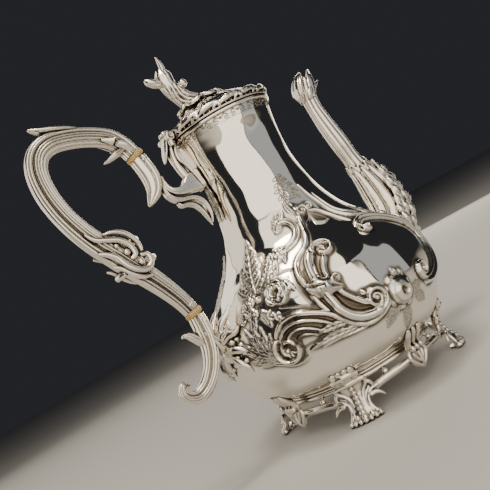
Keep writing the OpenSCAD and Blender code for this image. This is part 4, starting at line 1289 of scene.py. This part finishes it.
def upper_socket_shapes():
    """The smooth claw under the ivory, with the saddle plate and the stepped strap that reach the neck."""
    top = along(UPPER_AT, UPPER_LEAN, -SLICE / 2)
    claw = [(*top, 6.2, 5.1), (-65.2, 197, 6.3, 5.4), (-64.5, 191, 6.2, 5.6), (-65, 185, 5.8, 5.4),
            (-67.4, 179.6, 4.7, 4.8), (-71.4, 175.6, 3.0, 3.6), (-74.4, 173, 1.3, 1.8),
            (-75.4, 172.2, 0.3, 0.4)]

    def claw_section(t, phi):
        cuts = [(150, 7, 0.16 * (1 - 0.5 * t)), (82, 13, 0.2 * (1 - 0.4 * t)), (30, 8, 0.14)]
        return both_sides(phi, cuts)

    def plate_section(t, phi):
        return squared(phi) * both_sides(phi, [(90, 34, 0.17)])

    shapes = [bar(in_plane(claw), 10, 80, section=claw_section)]
    plate = [(-57.8, 186.4, 0.4, 0.8), (-59, 182.4, 1.3, 2.4), (-58.9, 178, 1.9, 3.2),
             (-56.2, 174.4, 2.2, 3.7), (-51.6, 172.7, 2.9, 3.9), (-46.6, 173.2, 4.2, 3.8),
             (-41.8, 174.4, 6.2, 3.6), (-37.4, 175.2, 7.4, 3.4), (-33.6, 175.6, 7, 3.2)]
    shapes.append(bar(in_plane(plate), 12, 64, section=plate_section))
    strap = [(-60, 184, 0.7, 1.8), (-61.3, 178.8, 1.4, 2.9), (-60.8, 173.4, 1.7, 3.3),
             (-58.2, 169.7, 1.8, 3.5), (-54.2, 167.3, 1.8, 3.5), (-50, 166.6, 1.7, 3.5),
             (-45.8, 165.4, 1.7, 3.5), (-42.2, 162.8, 1.7, 3.3), (-40.2, 158.6, 1.6, 3.1),
             (-40.4, 152, 1.4, 2.7), (-42, 146.4, 0.6, 1.2)]
    shapes.append(grooved(strap, 12, 40, [(90, 17, 0.24)]))
    lower = [(-57.4, 166.4, 0.8, 1.8), (-55.6, 164, 1.3, 2.6), (-51.4, 163.2, 1.3, 2.7),
             (-47.4, 160.8, 1.3, 2.7), (-44.9, 156, 1.2, 2.4), (-43.4, 149.6, 0.9, 1.8),
             (-42.8, 144.6, 0.3, 0.5)]
    shapes.append(grooved(lower, 12, 32, [(90, 15, 0.18)]))
    shapes.append(ball((-56.2, 0, 164.4), (1.5, 2.7, 1.3)))
    for s in (-1, 1):
        theta, z = np.array([178, 177, 176, 175.5, 176]) * s, np.array([170, 164, 157, 151, 144])
        path = on_body(theta, z, 0.5)
        half = np.array([[0.9, 1.6, 1.7, 1.3, 0.3]]).T
        shapes.append(blade(np.hstack([path, half]), 1.4, 0.3, 4, 0.25, 9, (0, 1, 0), 8))
    return joined(shapes)


def hinge_bracket_shapes():
    """The hollow-sided arm from the neck up to the hinge, its tongue, side edges and outer knuckles."""
    arm = [(-40.6, 204, 2.6, 7), (-41.8, 200.6, 3.4, 6.0), (-42.2, 195.4, 4.2, 4.6), (-41.8, 189.6, 4.8, 3.8),
           (-40.8, 184, 5.0, 3.2), (-39.4, 178.6, 4.8, 2.9), (-37.4, 173, 4.0, 2.7), (-35.6, 168, 2.6, 2.4)]
    shapes = [grooved(arm, 10, 64, [(90, 26, 0.34)])]
    tongue = [(-43.6, 206, 1.3, 4.6), (-46, 201.6, 1.4, 4.4), (-48.6, 197, 1.1, 3.4),
              (-50.8, 192.8, 0.4, 1.2)]
    shapes.append(grooved(tongue, 8, 32, [(180, 16, 0.2)]))
    for s in (-1, 1):
        edge = [(-40.4, 4.4 * s, 201, 0.7, 0.8), (-42.6, 4.2 * s, 195, 0.8, 0.9),
                (-42.4, 4.0 * s, 190.6, 0.8, 0.9), (-40.2, 3.8 * s, 187, 0.9, 1.0),
                (-38.4, 3.6 * s, 182, 0.9, 1.0), (-36.8, 3.4 * s, 176, 0.8, 0.9),
                (-35.8, 3.2 * s, 170, 0.6, 0.7)]
        shapes.append(bar(edge, 8, 16, (1, 0, 0)))
        knuckle = [(1.25, 3.3), (2.7, 3.3), (3, 3.7), (3, 7.5), (2.7, 7.9), (1.25, 7.9)]
        shapes.append(lathe_along_y(HINGE_AT, knuckle, s))
        shapes.append(bar([(-42.8, 5.6 * s, 200.6, 2, 2.4), (-42.6, 5.6 * s, 203.4, 1.8, 2.2),
                           (-42.4, 5.6 * s, 205, 1.4, 2)], 6, 16))
    shapes.append(bar([(-42.4, -7, 201.8, 1.4, 1.8), (-43, 0, 201.4, 1.4, 2), (-42.4, 7, 201.8, 1.4, 1.8)],
                      8, 16, (1, 0, 0)))
    return joined(shapes)


def lower_socket_shapes():
    """The fluted stem under the ivory, its thick tail scroll, heel leaf and the leaves on the belly."""
    top = along(LOWER_AT, LOWER_LEAN, -SLICE / 2)
    stem = [(*top, 5.5, 4.8), (-84.8, 93.5, 5.9, 5.0), (-85.6, 85, 5.9, 5.0), (-88.2, 76.6, 5.6, 4.9),
            (-93.2, 68.6, 5.2, 4.7), (-100, 62.4, 4.9, 4.5), (-106.8, 59.6, 4.6, 4.3),
            (-112.4, 60.6, 4.0, 4.0), (-115.6, 64.4, 3.3, 3.7), (-114.6, 68.4, 2.6, 3.2),
            (-111.6, 69.2, 1.8, 2.4), (-110, 67.6, 1.0, 1.4)]
    cuts = [(138, 6, 0.18), (112, 11, 0.34), (86, 5, 0.15), (58, 8, 0.2), (28, 10, 0.18)]
    shapes = [grooved(stem, 10, 96, cuts)]
    heel = [(-86, 80, 1.4, 2.4), (-90, 84.6, 2.2, 3.4), (-93, 89.4, 2.4, 3.6), (-95.8, 92.6, 1.8, 3.2),
            (-98.4, 93.4, 1.0, 2.4), (-99.6, 92.8, 0.4, 1.0)]
    shapes.append(grooved(heel, 8, 32, [(180, 14, 0.22), (90, 12, 0.18)]))
    branch = [(-86, 90, 2.6, 4.0), (-83.2, 83, 3.8, 4.8), (-79.4, 77.4, 4.8, 5.4), (-74.4, 74, 5.6, 6.0)]
    shapes.append(grooved(branch, 8, 64, [(90, 12, 0.2), (45, 9, 0.15)]))
    shapes.append(ball((-78.4, 0, 70.4), (3.6, 5.6, 6.2)))
    for s in (-1, 1):
        for points in (
            [(-81, 3, 82, 1.6), (-76.8, 6.6, 88, 2.3), (-71.6, 9.4, 92, 1.9), (-67, 10.6, 96, 0.8)],
            [(-80.4, 4, 78, 1.8), (-77, 9, 80.6, 2.5), (-73.8, 13, 81, 2.1), (-71.6, 16, 82.6, 0.8)],
            [(-80, 4, 73, 1.8), (-78.2, 9.4, 71.4, 2.4), (-75.6, 13.6, 69.4, 2.0), (-74, 16.4, 67.4, 0.8)],
            [(-79.6, 3, 68.6, 1.8), (-78.4, 7.4, 63.8, 2.3), (-76.2, 10.4, 59, 1.9), (-75.2, 11.6, 55, 0.7)],
        ):
            shapes.append(bar([(x, y * s, z, r * 0.9, r) for x, y, z, r in points], 8, 16, (0.3, 0, 1)))
        for x, y, z, r in ((-78.6, 6, 84.4, 1.7), (-77.6, 9.6, 76, 1.9), (-78, 7.2, 66.4, 1.8),
                           (-79.8, 4.6, 80, 1.4)):
            shapes.append(ball((x, y * s, z), r))
    return joined(shapes)


show_cast("upper_socket_cast", upper_socket_shapes(), "upper_socket")
show_cast("hinge_bracket_cast", hinge_bracket_shapes(), "hinge_bracket")
show_cast("lower_socket_cast", lower_socket_shapes(), "lower_socket")


# ---- lid ----


def border_shapes():
    """The cast border: long smooth strands that flow over a ring, one over the next, above a pierced edge."""
    ring = [(34.2, 203.6), (36.4, 203.6), (36.9, 204.6), (36.6, 206), (36.0, 207.4), (35.4, 209),
            (34.4, 209.9), (33, 210.2), (32, 209.6), (33.6, 207.4), (34.2, 205)]
    a = np.linspace(0, 2 * math.pi, 14, endpoint=False)
    edge = np.stack([37.5 + 0.9 * np.cos(a), 204.3 + 0.8 * np.sin(a)], -1)
    shapes = [lathe(ring, 160), lathe(edge, 160)]
    count = 15
    for k in range(count):
        at = 360 * k / count + 4
        for start, lift, thick, reach in ((0, 0, 1.0, 36), (9, 0.5, 0.72, 25), (-7, -0.6, 0.66, 22)):
            share = np.linspace(0, 1, 9)
            turn = np.radians(start + reach * share)
            r = 38.3 - 4.6 * share**1.6 + 0.9 * np.sin(math.pi * share) + 0.2 * lift
            z = 205.7 + lift + 5.0 * share**0.85
            z = z + 0.7 * np.sin(2 * math.pi * share)
            half = 1.75 * thick * np.sqrt(np.clip(np.minimum(share / 0.25, (1 - share) / 0.3), 0.08, 1))
            line = np.stack([r * np.cos(turn), r * np.sin(turn), z, half * 0.8, half], -1)
            shapes.append(turned(bar(line, 6, 14, (0, 0, 1)), at))
        # a rolled tip where each strand starts, and the posts between the holes
        shapes.append(turned(ball((38.6, 0, 206.1), (1.1, 1.5, 1.3)), at + 1))
        for j in range(4):
            shapes.append(turned(ball((37.4, 0, 205.3), (0.7, 0.65, 1.0), 6, 8), at + 6 * j + 2))
    return shapes


def dome_shapes():
    """The low dome with leaves chased towards the finial."""
    outer = spline([(34.3, 207.8), (31, 211.0), (25.5, 214.8), (19.5, 217.6), (13, 219.4), (4, 219.6)], 14)
    a = np.linspace(0, 2 * math.pi, 480, endpoint=False)
    r = outer[:, :1]
    # pointed leaves, with a middle rib and slanting veins
    leaves = 10
    across = (leaves * a / (2 * math.pi)) % 1 - 0.5
    share = np.clip((r - 11) / 21, 0, 1)
    half = 0.42 * np.sin(math.pi * np.clip(share, 0, 1)) ** 0.7 + 1e-3
    u = np.abs(across)[None, :] / half
    veins = 0.5 + 0.5 * np.cos(2 * math.pi * (9 * share - 2.2 * u))
    swell = np.clip(1 - u**2, 0, 1) ** 0.4
    rise = np.where(u < 1, swell * (0.5 + 0.25 * veins) - 0.35 * np.exp(-((u / 0.1) ** 2)), 0)
    normal = outward_normals(outer)
    top = around(r + rise * normal[:, :1], outer[:, 1:] + rise * normal[:, 1:], a)
    inside = (outer - 1.0 * normal)[::-4]
    inside = inside[(inside[:, 0] < 34) & (inside[:, 0] > 2)]
    rings = np.concatenate([top, around(inside[:, :1], inside[:, 1:], a)])
    return rings.reshape(-1, 3), [grid_faces(len(rings), 480, wrap_rows=True)[:, ::-1]]


COLLAR_X = -4.4


def collar_shapes():
    """The rosette under the finial: petals with rolled rims, each round a bead, over a ring of leaves."""
    shapes = []
    base = [(0.01, 218.6), (12.6, 218.4), (13.8, 219.6), (12, 221.6), (8.6, 223.6), (0.01, 224.4)]
    shapes.append(lathe_at((COLLAR_X, 0), base, 64))
    petals = 7
    for k in range(petals):
        at = 360 * (k + 0.35) / petals
        rim = []
        for y, x, z in ((-2.4, 6.4, 224.2), (-4.9, 10.4, 223.8), (-5.2, 14, 222.4), (-2.8, 16.4, 221),
                        (0, 17, 220.6), (2.8, 16.4, 221), (5.2, 14, 222.4), (4.9, 10.4, 223.8),
                        (2.4, 6.4, 224.2)):
            rim.append((x, y, z, 1.25, 1.25))
        petal = [bar(rim, 6, 14, (0, 0, 1)), ball((11.8, 0, 222), (2.1, 1.7, 1.9)),
                 ball((14.6, 0, 220.4), (2.6, 4.4, 1.2))]
        shapes.append(moved(turned(joined(petal), at), (COLLAR_X, 0, 0)))
        leaf = [(9, 0, 219.6, 2.4), (13.6, 0, 219.4, 4.4), (16.8, 0, 218.4, 3.4), (18.6, 0, 217.4, 0.6)]
        leaf_shape = turned(blade(leaf, 1.4, 0.2, 2, 0.2, 4, (0, 1, 0), 7), at + 180 / petals)
        shapes.append(moved(leaf_shape, (COLLAR_X, 0, 0)))
    return shapes


def finial_shapes():
    """The leaning stem with bark-like flutes, its hugging petals, thin pointed bud, oval leaf and berry."""
    stem = [(-5.4, 220.4, 7.0, 6.8), (-9.4, 223.8, 6.9, 6.8), (-12.9, 227.6, 6.2, 6.2),
            (-16.4, 232.6, 5.7, 5.6), (-18.9, 238, 5.5, 5.4), (-19.6, 243.4, 5.5, 5.3),
            (-19, 247.4, 5.0, 4.8), (-18.5, 249.6, 3.4, 3.3)]

    def bark(t, phi):
        flutes = np.abs(np.cos(5.5 * (phi + 0.9 * t + 0.24 * np.sin(13 * t)))) ** 0.7
        knots = 0.05 * np.sin(21 * t + 3 * phi) + 0.04 * np.sin(37 * t - 4 * phi)
        return 0.76 + 0.27 * flutes + 1.6 * knots * (1 - flutes)

    shapes = [bar(in_plane(stem), 12, 96, section=bark)]
    for degrees, top, w in ((165, 252.6, 3.0), (108, 249.4, 2.6), (48, 250.4, 2.4), (-8, 251.6, 2.4),
                            (-64, 250, 2.6), (-128, 252.2, 3.0)):
        turn = math.radians(degrees)
        cx, sy = math.cos(turn), math.sin(turn)
        line = [(-18.2 + 4.0 * cx, 4.0 * sy, 236, 0.8, 1.4), (-19.6 + 4.7 * cx, 4.6 * sy, 241.6, 1.0, w),
                (-19.6 + 5.1 * cx, 5.0 * sy, 246.4, 0.95, w),
                (-19.0 + 4.4 * cx, 4.2 * sy, (246.4 + top) / 2, 0.8, w * 0.7),
                (-18.6 + 3.2 * cx, 3.0 * sy, top, 0.4, 0.5)]
        shapes.append(bar(line, 7, 18, (-sy, cx, 0)))
    bud = [(-18.2, 246, 1.4, 1.4), (-17.4, 250, 1.7, 2.0), (-16.6, 254, 1.8, 2.1), (-16.6, 258, 1.3, 1.5),
           (-17, 262, 0.3, 0.3)]
    shapes.append(grooved(bud, 8, 32, [(90, 14, 0.12)]))
    shapes.append(bar(in_plane([(-22, 241.6, 1.2, 1.6), (-25.4, 243, 2.2, 2.8), (-28.8, 244.8, 2.8, 3.5),
                                (-31.6, 246.8, 2.4, 3.0), (-33.6, 248.6, 0.8, 1.0)]), 8, 28))
    shapes.append(bar(in_plane([(-14.6, 234.6, 1.4, 1.4), (-12, 236.2, 1.1, 1.1), (-9.6, 238, 1.2, 1.2)]),
                      6, 14))
    shapes.append(ball((-8.3, 0, 238.8), (2.8, 2.8, 3.0), 16, 24))
    for degrees, z in ((30, 233), (75, 231), (-75, 231), (-30, 232)):
        turn = math.radians(degrees)
        shapes.append(bar([(-8.6 + 4.6 * math.cos(turn), 5.0 * math.sin(turn), z - 9, 1.0, 1.4),
                           (-12.4 + 4.6 * math.cos(turn), 5.0 * math.sin(turn), z - 4.5, 1.1, 2.2),
                           (-15.6 + 4.4 * math.cos(turn), 4.6 * math.sin(turn), z, 0.4, 0.6)], 7, 14,
                          (-math.sin(turn), math.cos(turn), 0)))
    return shapes


def lid_leaf_shapes():
    """The middle knuckle of the hinge and the two-lobed leaf that joins it to the border."""
    shapes = [lathe_along_y(HINGE_AT, [(1.3, -3), (2.8, -3), (3, -2.6), (3, 2.6), (2.8, 3), (1.3, 3)])]
    shapes.append(bar(in_plane([(-42, 209, 1.2, 2.4), (-39.6, 209.4, 1.4, 2.8), (-37.6, 208.4, 1.5, 2.8)]),
                      6))
    for s in (-1, 1):
        shapes.append(ball((-42.2, 2.2 * s, 210.2), (1.9, 1.7, 2.2), 12, 20))
        shapes.append(bar([(-38, 1.8 * s, 209.8, 1.0, 1.2), (-40.4, 2.6 * s, 211, 1.1, 1.3),
                           (-42.6, 2.4 * s, 211, 0.9, 1)], 6, 12))
    return joined(shapes)


placed("lid_border_cast", cast("lid_border", border_shapes(), 0.3, 1), CAST, "lid", "cast_silver",
       "lid_border")
placed("lid_dome_chased", mesh_of("lid_dome_chased", dome_shapes()), POLISHED, "lid", "polished_silver",
       "lid_dome")
placed("finial_rosette", cast("finial_rosette", collar_shapes(), 0.3, 2), CAST, "lid", "cast_silver",
       "finial_collar")
placed("finial_cast", cast("finial", finial_shapes(), 0.25, 1), CAST, "lid", "cast_silver", "finial")
show_cast("lid_hinge_cast", lid_leaf_shapes(), "lid_hinge_leaf", "lid")


# ---- CAD pieces that show as they are ----

SHOWN = {
    "base_plate": PLAIN, "mouth_rim": CAST, "lower_plate": CAST, "hinge_pin": PLAIN, "lid_bezel": PLAIN,
    "finial_stud": PLAIN, "finial_washer": PLAIN, "finial_nut": PLAIN,
}
for node, material in SHOWN.items():
    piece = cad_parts[node]
    piece.data.materials.clear()
    piece.data.materials.append(material)


# ---- camera, light and stage ----

# the camera's place from the pot's axis and the table, in mm, and its turn, rise and roll in degrees
CAMERA_AT = (-252, -357.8, 107.7)
CAMERA_TURN, CAMERA_RISE, CAMERA_ROLL = 58.13, 2.16, 30.04
CAMERA_LENS = 47.93
FLOOR_HALF = 4.0
WARM = (1, 0.915, 0.785)
COOL = (0.94, 0.97, 1)


def aim(thing, at):
    """Turns a lamp towards a point."""
    direction = at - thing.location
    thing.rotation_mode = "QUATERNION"
    thing.rotation_quaternion = direction.to_track_quat("-Z", "Y")


def make_camera():
    """A close view from the handle's side, a little above the middle, rolled as a hand tilts the pot."""
    data = bpy.data.cameras.new("camera")
    data.sensor_width = 36
    data.lens = CAMERA_LENS
    camera = bpy.data.objects.new("camera", data)
    bpy.context.scene.collection.objects.link(camera)
    x, y, z = CAMERA_AT
    camera.location = ((AXIS_X + x) * MM, y * MM, z * MM)
    yaw, pitch = math.radians(CAMERA_TURN), math.radians(CAMERA_RISE)
    forward = Vector((math.cos(pitch) * math.cos(yaw), math.cos(pitch) * math.sin(yaw), math.sin(pitch)))
    camera.rotation_mode = "QUATERNION"
    rolled = Quaternion(forward, math.radians(CAMERA_ROLL))
    camera.rotation_quaternion = rolled @ forward.to_track_quat("-Z", "Y")
    data.clip_start = 0.01
    bpy.context.scene.camera = camera


def soft_light(name, location, target, size, watts, colour):
    """A soft lamp at a place, facing a target."""
    data = bpy.data.lights.new(name, "AREA")
    data.shape = "RECTANGLE"
    data.size, data.size_y = size
    data.energy = watts
    data.color = colour
    lamp = bpy.data.objects.new(name, data)
    bpy.context.scene.collection.objects.link(lamp)
    lamp.location = location
    aim(lamp, Vector(target))


def soft_panel(name, azimuth, distance, z, size, watts, colour):
    """A soft light on the circle round the pot, facing it."""
    a = math.radians(azimuth)
    place = (AXIS_X * MM + distance * math.cos(a), distance * math.sin(a), z)
    soft_light(name, place, (AXIS_X * MM, 0, z), size, watts, colour)


def make_stage():
    """The pale floor, the dim surroundings and the soft lamps."""
    world = bpy.data.worlds.new("studio")
    bpy.context.scene.world = world
    world.use_nodes = True
    sky = world.node_tree.nodes["Background"]
    sky.inputs["Color"].default_value = (0.021, 0.022, 0.026, 1)
    sky.inputs["Strength"].default_value = 1.0
    mesh = bpy.data.meshes.new("floor")
    r = FLOOR_HALF
    mesh.from_pydata([(-r, -r, 0), (r, -r, 0), (r, r, 0), (-r, r, 0)], [], [(0, 1, 2, 3)])
    floor = bpy.data.objects.new("floor", mesh)
    bpy.context.scene.collection.objects.link(floor)
    material, _, _, shader = node_tree("floor_paint")
    shader.inputs["Base Color"].default_value = (0.56, 0.55, 0.53, 1)
    shader.inputs["Roughness"].default_value = 0.7
    mesh.materials.append(material)
    soft_panel("behind_camera", 246, 1.0, 0.56, (1.6, 1.1), 10.6, WARM)
    soft_light("overhead", (AXIS_X * MM - 0.3, -0.55, 1.25), (AXIS_X * MM, 0, 0.12), (1.3, 0.75), 5.2, WARM)
    soft_panel("tall_left", 132, 0.9, 0.5, (0.9, 0.95), 3.0, WARM)
    soft_panel("back_left", 86, 1.1, 0.8, (0.7, 0.8), 2.6, WARM)
    soft_panel("grey_side", 308, 1.0, 0.5, (0.8, 0.95), 0.95, COOL)
    soft_panel("rim_back", 38, 1.0, 0.5, (0.45, 0.95), 3.8, WARM)
    soft_light("top", (AXIS_X * MM - 0.1, -0.15, 1.1), (0, 0, 0.1), (0.3, 0.3), 5, WARM)


make_camera()
make_stage()
